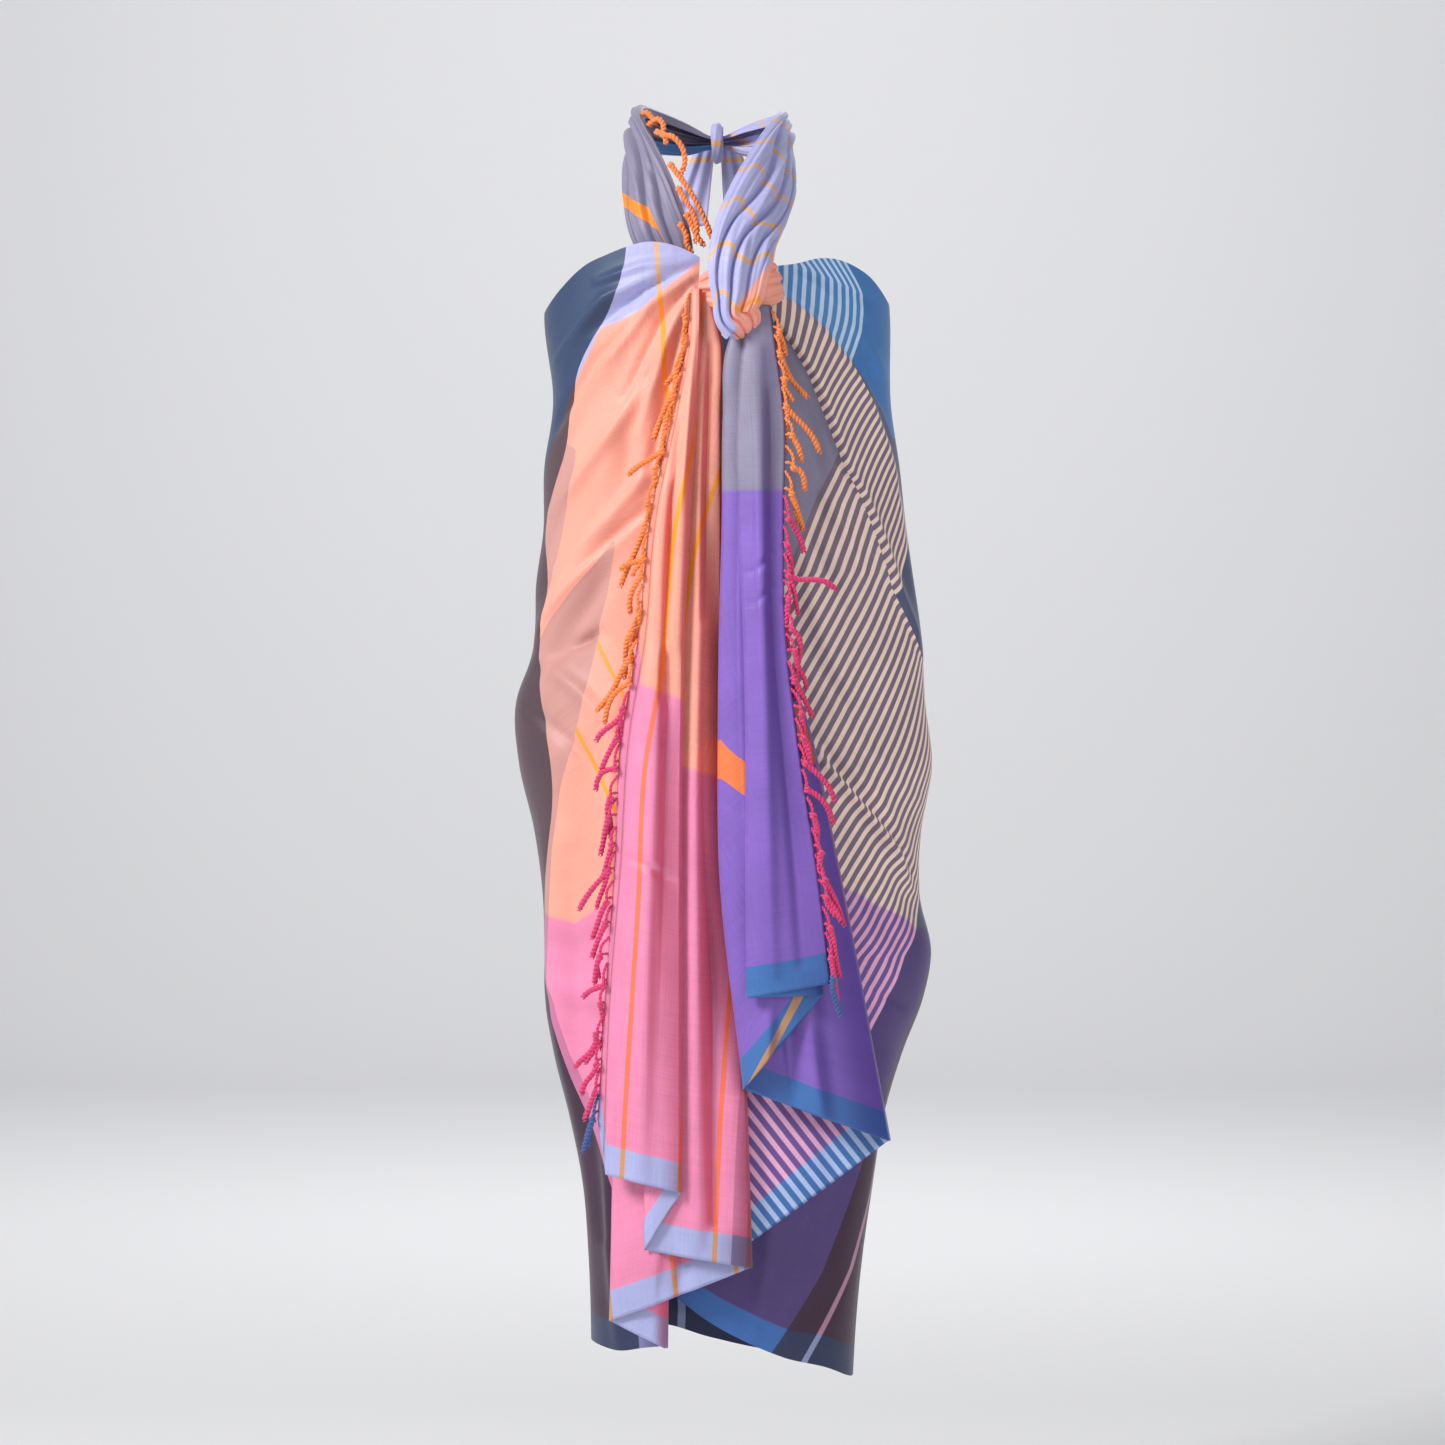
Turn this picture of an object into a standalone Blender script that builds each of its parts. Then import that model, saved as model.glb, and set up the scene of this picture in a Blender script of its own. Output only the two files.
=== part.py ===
"""A fringed shot-silk sarong worn as a halter dress: one cloth wrapped round the body, its two short
ends crossed at the chest, their upper corners tied behind the neck and the rest hanging as two falls
of zigzag folds. Metres, +Z up, the front faces -Y, and the origin is at the nape, where it is held.

The tables are in millimetres: x to the viewer's right of the middle, y as in the model, and drop
downwards from the top of the neck loop."""

import math

import bmesh
import bpy
import numpy as np

OBJECT_NAME = "longyi_sarong"
MM = 0.001
QUARTER = math.pi / 2

# The flat cloth is 1120 wide, from its top edge to its hem, and 1880 long. The wall stands for it.
WALL = 1.6
SEAM_GAP = 0.4
SIDE_SEAM = math.radians(0.14)
NAPE_DROP = 20.0
NECK_AXIS = (-5.0, -65.0)

BODY_MIDDLE_Y = -70.0
# The wrapped body, a section for each height. Columns: drop, left side, right side, half-depth.
BODY = (
    (140, -172, 172, 121),
    (210, -177, 177, 124),
    (300, -168, 178, 127),
    (365, -177, 187, 124),
    (430, -178, 194, 120),
    (480, -185, 201, 119),
    (550, -188, 210, 121),
    (605, -206, 213, 125),
    (665, -203, 220, 128),
    (735, -187, 209, 128),
    (800, -178, 207, 127),
    (860, -176, 219, 126),
    (905, -176, 211, 125),
    (960, -167, 190, 124),
    (1025, -151, 170, 122),
    (1100, -137, 158, 120),
    (1165, -132, 149, 118),
    (1255, -129, 141, 117),
    (1295, -129, 139, 117),
)

# Edges of the wrapped body. Columns: x, drop.
TOP_LEFT = ((-177, 208), (-160, 188), (-136, 166), (-113, 156), (-67, 145), (-32, 154), (-17, 162))
TOP_RIGHT = ((44, 171), (79, 166), (102, 160), (120, 160), (140, 166), (158, 177), (177, 200))
TOP_BACK = ((-177, 208), (-90, 214), (0, 217), (90, 212), (177, 200))
HEM_LEFT = ((-129, 1254), (-96, 1256), (-75, 1251), (-52, 1247))
HEM_RIGHT = ((-43, 1196), (-14, 1218), (27, 1241), (67, 1259), (116, 1276), (139, 1290))
HEM_BACK = ((-129, 1254), (-52, 1256), (-10, 1270), (35, 1280), (65, 1284), (139, 1290))
# The panels' inner edges, under the falls. Columns: drop, x.
INNER_LEFT = ((162, -17), (240, -20), (322, -27), (422, -34), (542, -40), (762, -46), (1247, -52))
INNER_RIGHT = ((170, 44), (240, 33), (322, 22), (422, 12), (542, 2), (762, -14), (902, -24), (1196, -43))

# The largest creases of the wrapped body. Each runs through three places and lifts or sinks the cloth.
# Columns: name, x and drop at its start, middle and end, half-width, rise.
FRONT_CREASES = (
    ("gather_1", -30, 172, -95, 185, -160, 240, 11, 4.0),
    ("gather_2", -28, 184, -85, 225, -140, 310, 12, 5.0),
    ("gather_3", -26, 196, -70, 265, -115, 380, 12, 5.0),
    ("gather_4", -40, 215, -62, 300, -85, 430, 11, 4.0),
    ("gather_valley_1", -40, 182, -95, 208, -150, 275, 9, -3.0),
    ("gather_valley_2", -50, 235, -90, 333, -92, 385, 11, -5.0),
    ("left_drag_ridge", -98, 434, -145, 490, -184, 552, 15, 8.0),
    ("left_drag_valley", -102, 452, -128, 505, -180, 572, 11, -5.0),
    ("left_pinch", -184, 572, -150, 548, -116, 536, 9, -4.0),
    ("left_long_ridge", -160, 650, -165, 860, -135, 1130, 20, 5.0),
    ("left_long_valley", -128, 640, -140, 880, -118, 1200, 16, -4.0),
    ("right_top_crease", 79, 167, 135, 189, 168, 206, 8, -3.0),
    ("right_gather_ridge", 55, 215, 95, 285, 124, 356, 13, 6.0),
    ("right_gather_valley", 92, 330, 104, 380, 100, 430, 13, -6.0),
    ("right_side_ridge", 136, 383, 162, 445, 203, 553, 12, 6.0),
    ("right_side_valley", 155, 392, 183, 465, 209, 545, 9, -4.0),
    ("right_upper_ridge", 131, 261, 158, 318, 180, 372, 10, 4.0),
    ("right_deep_fold", 108, 640, 160, 708, 212, 800, 13, 8.0),
    ("right_deep_valley", 104, 662, 152, 728, 206, 824, 10, -5.0),
    ("right_low_ridge", 172, 880, 160, 1040, 120, 1250, 17, 4.0),
    ("right_low_valley", 135, 900, 130, 1060, 85, 1240, 15, -3.0),
)
BACK_CREASES = (
    ("back_drag_1", -150, 240, -110, 520, -60, 900, 20, 5.0),
    ("back_drag_2", 140, 240, 100, 500, 70, 860, 20, 5.0),
    ("back_valley", -30, 230, -5, 560, 15, 1000, 24, -5.0),
    ("back_low_1", -110, 700, -95, 960, -70, 1250, 20, 5.0),
    ("back_low_2", 20, 760, 15, 1000, 5, 1265, 20, 5.0),
    ("back_low_3", 120, 700, 105, 980, 80, 1275, 20, 5.0),
    ("back_seat", -90, 560, 0, 600, 95, 570, 30, 4.0),
)

# The two falls, a row for each fold line. Columns: name, x at each station's drop, x at the hem, drop
# of the hem, and how far the leg that follows the fold stands in front of the body.
FALL_LEFT_STATIONS = (206, 244, 322, 422, 542, 642, 762, 902)
FALL_LEFT = (
    ("fringe_edge", (-27, -29, -44, -66, -78, -95, -101, -111), -118, 1016, 30),
    ("outer_curl", (-23, -25, -38, -58, -68, -84, -92, -104), -110, 1071, 35),
    ("outer_ridge", (-15, -15, -20, -26, -32, -34, -35, -35), -35, 1088, 28),
    ("outer_return", (-21, -21, -29, -42, -52, -62, -69, -72), -72, 1146, 22),
    ("middle_edge", (-8, 5, 5, 5, 5, 7, 13, 25), 35, 1164, 13),
    ("inner_edge", (-26, -28, -37, -49, -62, -72, -85, -97), -107, 1219, 7),
)
FALL_RIGHT_STATIONS = (224, 250, 322, 422, 542, 642, 762)
FALL_RIGHT = (
    ("fringe_edge", (53, 58, 67, 66, 68, 80, 98), 113, 881, 47),
    ("outer_edge", (33, 26, 20, 21, 26, 28, 28), 29, 895, 41),
    ("outer_return", (44, 45, 53, 55, 61, 73, 88), 105, 893, 35),
    ("middle_edge", (29, 11, 6, 5, 2, 1, 2), 26, 986, 27),
    ("inner_edge", (46, 47, 61, 65, 66, 95, 120), 173, 1041, 6),
)
FALL_HALF_SPAN = 262.0
FALL_DEPTH = 128.0
FOLD_RADIUS = 3.2
SEAM_FOLD_RADIUS = 1.8
LEG_BULGE = 0.045
MOST_BULGE = 3.0
# How much of its distance from the body a leg keeps. Columns: drop, share.
FALL_GATHER = ((200, 0.55), (300, 0.8), (420, 1.0), (1300, 1.0))

# The two halter straps, gathered cloth rolled into an open tube. They narrow into the tie at the nape.
# Columns: x, y, drop, width, thickness. The knot at the chest, behind the right strap, is another.
STRAP_LEFT = (
    (-34, -164, 196, 30, 11),
    (-43, -163, 168, 44, 13),
    (-52, -162, 145, 58, 16),
    (-61, -158, 122, 64, 20),
    (-69, -145, 95, 66, 22),
    (-77, -125, 66, 62, 21),
    (-83, -96, 38, 56, 20),
    (-81, -60, 17, 50, 20),
    (-62, -20, 14, 44, 20),
    (-32, 4, 18, 32, 17),
    (-10, 11, 20, 15, 15),
    (-1.5, 12, 20, 14, 14),
)
STRAP_RIGHT = (
    (14, -237, 240, 16, 12),
    (16, -236, 222, 38, 18),
    (20, -235, 200, 54, 22),
    (23, -231, 170, 63, 26),
    (29, -217, 140, 65, 26),
    (43, -193, 106, 68, 24),
    (56, -160, 74, 66, 22),
    (64, -122, 46, 60, 21),
    (68, -82, 27, 52, 20),
    (60, -34, 20, 44, 20),
    (32, 2, 19, 32, 17),
    (10, 11, 20, 15, 15),
    (1.5, 12, 20, 14, 14),
)
KNOT = (
    (-22, -200.4, 182, 26, 12),
    (-4, -209.4, 187, 32, 15),
    (22, -212.6, 192, 34, 17),
    (40, -209.0, 188, 32, 15),
    (57, -193.9, 182, 26, 12),
)
STRAP_TURN = math.radians(152)
STRAP_PLEATS = 3
STRAP_PLEAT_DEPTH = 0.16

TIE_RADIUS = 15.2
TIE_THICKNESS = 6.4
TIE_MIDDLE_Y = 12.0
TAIL_LENGTH = 92.0
TAIL_TOP_Z = 6.0
TAIL_CURL = 3.0
TAIL_TUCK = 0.8
# The short ends behind the nape. Columns: name, x at the top and the end, width at the top and the end.
TAILS = (("tie_tail_left", -11, -34, 18, 46), ("tie_tail_right", 12, 30, 18, 44))

# Fringe: strands knotted out of the short ends, a strand every FRINGE_PITCH.
FRINGE_PITCH = 28.0
STRAND_LENGTH = 46.0
STRAND_WIDTH = 4.2
STRAND_STEPS = 3
STRIP_WIDTH = 2.4

COLOURS = {
    "plum": (0.055, 0.03, 0.06, 1),
    "peach": (0.92, 0.37, 0.27, 1),
    "pink": (0.80, 0.25, 0.44, 1),
    "lilac": (0.46, 0.47, 0.75, 1),
    "purple": (0.19, 0.11, 0.38, 1),
    "mauve": (0.27, 0.22, 0.29, 1),
    "magenta": (0.75, 0.035, 0.16, 1),
}


def curve(keys, values, at):
    """A smooth curve through the values, read at these places."""
    keys = np.asarray(keys, float)
    values = np.asarray(values, float)
    at = np.clip(np.asarray(at, float), keys[0], keys[-1])
    slopes = np.gradient(values, keys)
    low = np.clip(np.searchsorted(keys, at) - 1, 0, len(keys) - 2)
    span = keys[low + 1] - keys[low]
    t = (at - keys[low]) / span
    start = (1 + 2 * t) * (1 - t) ** 2 * values[low] + t * (1 - t) ** 2 * span * slopes[low]
    end = t * t * (3 - 2 * t) * values[low + 1] + t * t * (t - 1) * span * slopes[low + 1]
    return start + end


def table_curve(table, at):
    """The same, through a table of pairs."""
    keys, values = zip(*table)
    return curve(keys, values, at)


def body_section(drop):
    """The middle, half-width and half-depth of the wrapped body at this height."""
    drops, lefts, rights, depths = zip(*BODY)
    left = curve(drops, lefts, drop)
    right = curve(drops, rights, drop)
    return (left + right) / 2, (right - left) / 2, curve(drops, depths, drop)


def body_turn(x, drop):
    """How far round from the front this x lies, in radians, positive to the right."""
    middle, width, _ = body_section(drop)
    return np.arcsin(np.clip((x - middle) / width, -1, 1))


def crease_rise(x, drop, creases):
    """How far the creases lift the cloth at this place."""
    total = np.zeros(np.broadcast(x, drop).shape)
    for _, x0, drop0, x1, drop1, x2, drop2, width, rise in creases:
        best = np.full(total.shape, np.inf)
        along = np.zeros(total.shape)
        for part, (ax, ad, bx, bd) in enumerate(((x0, drop0, x1, drop1), (x1, drop1, x2, drop2))):
            length2 = (bx - ax) ** 2 + (bd - ad) ** 2
            t = np.clip(((x - ax) * (bx - ax) + (drop - ad) * (bd - ad)) / length2, 0, 1)
            distance = np.hypot(x - ax - t * (bx - ax), drop - ad - t * (bd - ad))
            nearer = distance < best
            best = np.where(nearer, distance, best)
            along = np.where(nearer, (part + t) / 2, along)
        fade = np.sin(math.pi * (0.12 + 0.76 * along))
        total += rise * fade * np.exp(-((best / width) ** 2))
    return total


def body_points(turn, drop):
    """Points of the wrapped cloth, in millimetres, with its creases."""
    middle, width, depth = body_section(drop)
    x = middle + width * np.sin(turn)
    facing = np.cos(turn)
    front = crease_rise(x, drop, FRONT_CREASES)
    back = crease_rise(x, drop, BACK_CREASES)
    side_fade = np.clip(np.abs(facing) / 0.3, 0, 1)
    out = np.where(facing > 0, front, back) * side_fade
    return np.stack(
        [
            middle + (width + out) * np.sin(turn),
            BODY_MIDDLE_Y - (depth + out) * facing,
            NAPE_DROP - drop,
        ],
        axis=-1,
    )


def body_grid(turn_start, turn_end, top, hem, columns, rows):
    """A stretch of the wrapped body between two turns, each a number or a table of drop and x."""

    def turn_at(edge, drop):
        if isinstance(edge, tuple):
            return body_turn(table_curve(edge, drop), drop)
        return np.full(np.shape(drop), edge)

    across = np.linspace(0, 1, columns)

    def ends(table, drop):
        turns = turn_at(turn_start, drop) * (1 - across) + turn_at(turn_end, drop) * across
        middle, width, _ = body_section(drop)
        return table_curve(table, middle + width * np.sin(turns))

    top_drop = ends(top, np.full(columns, 190.0))
    hem_drop = ends(hem, np.full(columns, 1255.0))
    down = np.linspace(0, 1, rows)[:, None]
    drop = top_drop + (hem_drop - top_drop) * down
    turn = turn_at(turn_start, drop) * (1 - across) + turn_at(turn_end, drop) * across
    return body_points(turn, drop)


def fall_y(x, drop, stand_out):
    """The y of a leg of a fall that stands this far in front of the body."""
    gathered = table_curve(FALL_GATHER, drop)
    return BODY_MIDDLE_Y - FALL_DEPTH * np.sqrt(1 - (x / FALL_HALF_SPAN) ** 2) - stand_out * gathered


def fall_grid(table, stations, inner_edge, side, rows):
    """A fall of zigzag folds. Its last fold comes back to the body, beside the edge of the panel."""
    down = np.linspace(0, 1, rows)
    top_drop = stations[0]
    lines = []
    for _, xs, hem_x, hem_drop, leg_depth in table:
        drop = top_drop + (hem_drop - top_drop) * down
        lines.append((curve(stations + (hem_drop,), xs + (hem_x,), drop), drop, leg_depth))
    hem_drop = inner_edge[-1][0]
    drop = top_drop + (hem_drop - top_drop) * down
    seam_x = table_curve(inner_edge, drop) + side * (WALL / 2 + SEAM_GAP)
    apex_x = seam_x + side * SEAM_FOLD_RADIUS
    lines.append((apex_x, drop, None))

    columns = []
    before = table[0][4]
    for (x0, drop0, depth), (x1, drop1, _) in zip(lines, lines[1:]):
        length = np.abs(x1 - x0)
        near = np.minimum(FOLD_RADIUS / np.maximum(length, 0.1), 0.3)
        columns.append((x0, drop0, fall_y(x0, drop0, (before + depth) / 2)))
        for part in (near, 0.5, 1 - near):
            x = x0 + (x1 - x0) * part
            leg_drop = drop0 + (drop1 - drop0) * part
            bulge = np.minimum(LEG_BULGE * length, MOST_BULGE) * np.sin(math.pi * part)
            columns.append((x, leg_drop, fall_y(x, leg_drop, depth) - bulge))
        before = depth
    turn = body_turn(seam_x, drop)
    _, _, body_depth = body_section(drop)
    seam_y = BODY_MIDDLE_Y - body_depth * np.cos(turn)
    columns.append((apex_x, drop, (fall_y(apex_x, drop, before) + seam_y) / 2))
    columns.append((seam_x, drop, seam_y))
    return np.stack([np.stack([x, y, NAPE_DROP - d], axis=-1) for x, d, y in columns], axis=1)


def strap_grid(table, columns, rows):
    """Gathered cloth rolled into a tube that is open at the back, along a path."""
    keys = np.arange(len(table))
    at = np.linspace(0, len(table) - 1, rows)
    x, y, drop, width, thickness = (curve(keys, values, at) for values in zip(*table))
    path = np.stack([x, y, NAPE_DROP - drop], axis=-1)
    along = np.gradient(path, axis=0)
    along /= np.linalg.norm(along, axis=1, keepdims=True)
    out = np.stack([x - NECK_AXIS[0], y - NECK_AXIS[1], np.zeros(rows)], axis=-1)
    out -= (out * along).sum(axis=1, keepdims=True) * along
    out /= np.linalg.norm(out, axis=1, keepdims=True)
    across = np.cross(along, out)
    turn = np.linspace(-STRAP_TURN, STRAP_TURN, columns)
    pleat = 1 + STRAP_PLEAT_DEPTH * np.cos(STRAP_PLEATS * 2 * turn)
    wide = width[:, None] / 2 * np.sin(turn)
    thick = thickness[:, None] / 2 * np.cos(turn) * pleat
    return path[:, None] + wide[..., None] * across[:, None] + thick[..., None] * out[:, None]


def tail_grid(x_top, x_end, width_top, width_end):
    """One short end of the tie, hanging behind the nape."""
    down = np.linspace(0, 1, 5)[:, None]
    across = np.linspace(-0.5, 0.5, 4)
    x = x_top + (x_end - x_top) * down + (width_top + (width_end - width_top) * down) * across
    back_of_tie = TIE_MIDDLE_Y + TIE_RADIUS + TIE_THICKNESS
    y = back_of_tie + WALL / 2 + SEAM_GAP - TAIL_TUCK + TAIL_CURL * np.abs(across) * down
    z = TAIL_TOP_Z - TAIL_LENGTH * down + np.zeros(x.shape)
    return np.stack([x, y, z], axis=-1)


def link(obj, colour):
    """Puts the object in the part's collection and gives it its own material."""
    material = bpy.data.materials.new(obj.name)
    material.use_nodes = True
    shader = material.node_tree.nodes["Principled BSDF"]
    shader.inputs["Base Color"].default_value = COLOURS[colour]
    shader.inputs["Roughness"].default_value = 0.5
    shader.inputs["Metallic"].default_value = 0.0
    obj.data.materials.clear()
    obj.data.materials.append(material)
    if obj.name not in collection.objects:
        collection.objects.link(obj)
    return obj


def cloth(name, grid, colour):
    """A loft through the grid's rows of points, made a wall of cloth."""
    bm = bmesh.new()
    points = [[bm.verts.new(point * MM) for point in row] for row in grid]
    for upper, lower in zip(points, points[1:]):
        for quad in zip(upper, lower, lower[1:], upper[1:]):
            bm.faces.new(quad).smooth = True
    mesh = bpy.data.meshes.new(name)
    bm.to_mesh(mesh)
    bm.free()
    obj = bpy.data.objects.new(name, mesh)
    wall = obj.modifiers.new("Wall", "SOLIDIFY")
    wall.thickness = WALL * MM
    wall.offset = 0
    return link(obj, colour)


def tie(name, colour):
    """The knot at the nape: a ring of rolled cloth that both straps run into."""
    bpy.ops.mesh.primitive_torus_add(
        location=(0, TIE_MIDDLE_Y * MM, 0),
        rotation=(0, math.pi / 2, 0),
        major_segments=16,
        minor_segments=8,
        major_radius=TIE_RADIUS * MM,
        minor_radius=TIE_THICKNESS * MM,
    )
    obj = bpy.context.object
    obj.name = name
    for other in obj.users_collection:
        other.objects.unlink(obj)
    obj.data.shade_smooth()
    return link(obj, colour)


def fringe(name, edge, outward, colour):
    """A narrow strip beside the cloth's edge, with a strand drawn out of it every FRINGE_PITCH."""
    steps = np.linalg.norm(np.diff(edge, axis=0), axis=1)
    run = np.concatenate([[0], np.cumsum(steps)])
    count = int(run[-1] // FRINGE_PITCH)
    outward = np.asarray(outward, float) / np.linalg.norm(outward)
    bm = bmesh.new()
    rings = []
    for i in range(count):
        middle = (i + 0.5) * run[-1] / count
        for place in (middle - STRAND_WIDTH / 2, middle + STRAND_WIDTH / 2):
            centre = np.array([np.interp(place, run, edge[:, axis]) for axis in range(3)])
            centre += outward * (STRIP_WIDTH / 2 + WALL / 2 + SEAM_GAP)
            corners = ((-1, -1), (1, -1), (1, 1), (-1, 1))
            ring = []
            for wide, deep in corners:
                offset = outward * wide * STRIP_WIDTH / 2 + np.array([0, deep * STRIP_WIDTH / 2, 0])
                ring.append(bm.verts.new((centre + offset) * MM))
            rings.append(ring)
    roots = []
    for i, (upper, lower) in enumerate(zip(rings, rings[1:])):
        for j in range(4):
            face = bm.faces.new((upper[j], lower[j], lower[(j + 1) % 4], upper[(j + 1) % 4]))
            if j == 1 and i % 2 == 0:
                roots.append(face)
    bm.faces.new(rings[0])
    bm.faces.new(rings[-1][::-1])
    bmesh.ops.recalc_face_normals(bm, faces=bm.faces)
    for i, face in enumerate(roots):
        length = STRAND_LENGTH * (1 + 0.2 * math.sin(2.4 * i))
        lean = 0.35 + 0.25 * math.sin(1.7 * i + 0.6)
        for step in range(1, STRAND_STEPS + 1):
            made = bmesh.ops.extrude_discrete_faces(bm, faces=[face])
            face = made["faces"][0]
            hang = step / STRAND_STEPS
            side = outward * (1 - hang * lean) * length / STRAND_STEPS * (1.25 - 0.75 * hang)
            down = -length / STRAND_STEPS * (0.25 + 0.9 * hang)
            sway = 1.6 * math.sin(2.1 * i + 2.5 * hang)
            shift = np.array([side[0], sway, down]) * MM
            bmesh.ops.translate(bm, verts=face.verts, vec=shift)
    mesh = bpy.data.meshes.new(name)
    bm.to_mesh(mesh)
    bm.free()
    return link(bpy.data.objects.new(name, mesh), colour)


for old in list(bpy.data.objects):
    bpy.data.objects.remove(old, do_unlink=True)
collection = bpy.data.collections.new(OBJECT_NAME)
bpy.context.scene.collection.children.link(collection)

cloth("wrap_back", body_grid(QUARTER, 3 * QUARTER, TOP_BACK, HEM_BACK, 19, 22), "plum")
cloth("front_left", body_grid(-QUARTER + SIDE_SEAM, INNER_LEFT, TOP_LEFT, HEM_LEFT, 14, 27), "peach")
cloth("front_right", body_grid(INNER_RIGHT, QUARTER - SIDE_SEAM, TOP_RIGHT, HEM_RIGHT, 15, 27), "mauve")
left_fall = fall_grid(FALL_LEFT, FALL_LEFT_STATIONS, INNER_LEFT, 1, 20)
right_fall = fall_grid(FALL_RIGHT, FALL_RIGHT_STATIONS, INNER_RIGHT, -1, 20)
cloth("fall_left", left_fall, "pink")
cloth("fall_right", right_fall, "purple")
cloth("strap_left", strap_grid(STRAP_LEFT, 13, 18), "mauve")
cloth("strap_right", strap_grid(STRAP_RIGHT, 13, 20), "lilac")
cloth("knot", strap_grid(KNOT, 11, 7), "peach")
tie("nape_tie", "lilac")
for tail_name, *sizes in TAILS:
    cloth(tail_name, tail_grid(*sizes), "lilac")
fringe("fringe_left", left_fall[:, 0], (-1, 0, 0), "magenta")
fringe("fringe_right", right_fall[:, 0], (1, 0, 0), "magenta")
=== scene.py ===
"""Looks for the sarong worn as a halter dress: thin cloth on the forms of its solids, with the plaid of
the shot silk worked out from each point's place on the flat cloth.

Tables are in millimetres, as in the part's source: x to the viewer's right of the middle, y as in the
model, and drop downwards from the top of the neck loop. Places on the flat cloth, u along its length
and v from its top edge to its hem, are in metres."""

import math
import random

import bpy
import numpy as np
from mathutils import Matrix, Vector


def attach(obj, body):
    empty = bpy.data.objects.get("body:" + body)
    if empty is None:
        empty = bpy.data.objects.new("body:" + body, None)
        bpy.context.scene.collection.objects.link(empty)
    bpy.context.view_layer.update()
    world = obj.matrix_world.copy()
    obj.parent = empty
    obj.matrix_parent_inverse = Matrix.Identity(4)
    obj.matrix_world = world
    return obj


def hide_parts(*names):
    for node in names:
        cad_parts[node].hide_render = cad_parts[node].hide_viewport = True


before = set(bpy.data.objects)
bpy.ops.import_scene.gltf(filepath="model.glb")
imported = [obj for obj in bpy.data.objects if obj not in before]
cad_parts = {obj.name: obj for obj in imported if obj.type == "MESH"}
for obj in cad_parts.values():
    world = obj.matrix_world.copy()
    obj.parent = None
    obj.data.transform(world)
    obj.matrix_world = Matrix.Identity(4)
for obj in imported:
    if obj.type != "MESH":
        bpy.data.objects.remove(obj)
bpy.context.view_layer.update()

MM = 0.001
QUARTER = math.pi / 2
WALL = 1.6
SEAM_GAP = 0.4
NAPE_DROP = 20.0
NECK_AXIS = (-5.0, -65.0)
CLOTH_THICKNESS = 0.0008
FLAT_CLOTH = (1.88, 1.12)

# The forms of the solids.
BODY_MIDDLE_Y = -70.0
# Columns: drop, left side, right side, half-depth.
BODY = (
    (140, -172, 172, 121),
    (210, -177, 177, 124),
    (300, -168, 178, 127),
    (365, -177, 187, 124),
    (430, -178, 194, 120),
    (480, -185, 201, 119),
    (550, -188, 210, 121),
    (605, -206, 213, 125),
    (665, -203, 220, 128),
    (735, -187, 209, 128),
    (800, -178, 207, 127),
    (860, -176, 219, 126),
    (905, -176, 211, 125),
    (960, -167, 190, 124),
    (1025, -151, 170, 122),
    (1100, -137, 158, 120),
    (1165, -132, 149, 118),
    (1255, -129, 141, 117),
    (1295, -129, 139, 117),
)
# The drops at which the width is read for the top edge's and the hem's tables.
TOP_READ = 190.0
HEM_READ = 1255.0
# Columns: x, drop.
TOP_LEFT = ((-177, 208), (-160, 188), (-136, 166), (-113, 156), (-67, 145), (-32, 154), (-17, 162))
TOP_RIGHT = ((44, 171), (79, 166), (102, 160), (120, 160), (140, 166), (158, 177), (177, 200))
TOP_BACK = ((-177, 208), (-90, 214), (0, 217), (90, 212), (177, 200))
HEM_LEFT = ((-129, 1254), (-96, 1256), (-75, 1251), (-52, 1247))
HEM_RIGHT = ((-43, 1196), (-14, 1218), (27, 1241), (67, 1259), (116, 1276), (139, 1290))
HEM_BACK = ((-129, 1254), (-52, 1256), (-10, 1270), (35, 1280), (65, 1284), (139, 1290))
# Columns: drop, x.
INNER_LEFT = ((162, -17), (240, -20), (322, -27), (422, -34), (542, -40), (762, -46), (1247, -52))
INNER_RIGHT = ((170, 44), (240, 33), (322, 22), (422, 12), (542, 2), (762, -14), (902, -24), (1196, -43))

# Columns: name, x and drop at the start, middle and end, half-width, rise. The large ones are the solid's.
FRONT_CREASES = (
    ("gather_1", -30, 172, -95, 185, -160, 240, 11, 4.0),
    ("gather_2", -28, 184, -85, 225, -140, 310, 12, 5.0),
    ("gather_3", -26, 196, -70, 265, -115, 380, 12, 5.0),
    ("gather_4", -40, 215, -62, 300, -85, 430, 11, 4.0),
    ("gather_valley_1", -40, 182, -95, 208, -150, 275, 9, -3.0),
    ("gather_valley_2", -50, 235, -90, 333, -92, 385, 11, -5.0),
    ("left_drag_ridge", -98, 434, -145, 490, -184, 552, 15, 8.0),
    ("left_drag_valley", -102, 452, -128, 505, -180, 572, 11, -5.0),
    ("left_pinch", -184, 572, -150, 548, -116, 536, 9, -4.0),
    ("left_long_ridge", -160, 650, -165, 860, -135, 1130, 20, 5.0),
    ("left_long_valley", -128, 640, -140, 880, -118, 1200, 16, -4.0),
    ("right_top_crease", 79, 167, 135, 189, 168, 206, 8, -3.0),
    ("right_gather_ridge", 55, 215, 95, 285, 124, 356, 13, 6.0),
    ("right_gather_valley", 92, 330, 104, 380, 100, 430, 13, -6.0),
    ("right_side_ridge", 136, 383, 162, 445, 203, 553, 12, 6.0),
    ("right_side_valley", 155, 392, 183, 465, 209, 545, 9, -4.0),
    ("right_upper_ridge", 131, 261, 158, 318, 180, 372, 10, 4.0),
    ("right_deep_fold", 108, 640, 160, 708, 212, 800, 13, 8.0),
    ("right_deep_valley", 104, 662, 152, 728, 206, 824, 10, -5.0),
    ("right_low_ridge", 172, 880, 160, 1040, 120, 1250, 17, 4.0),
    ("right_low_valley", 135, 900, 130, 1060, 85, 1240, 15, -3.0),
)
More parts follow.
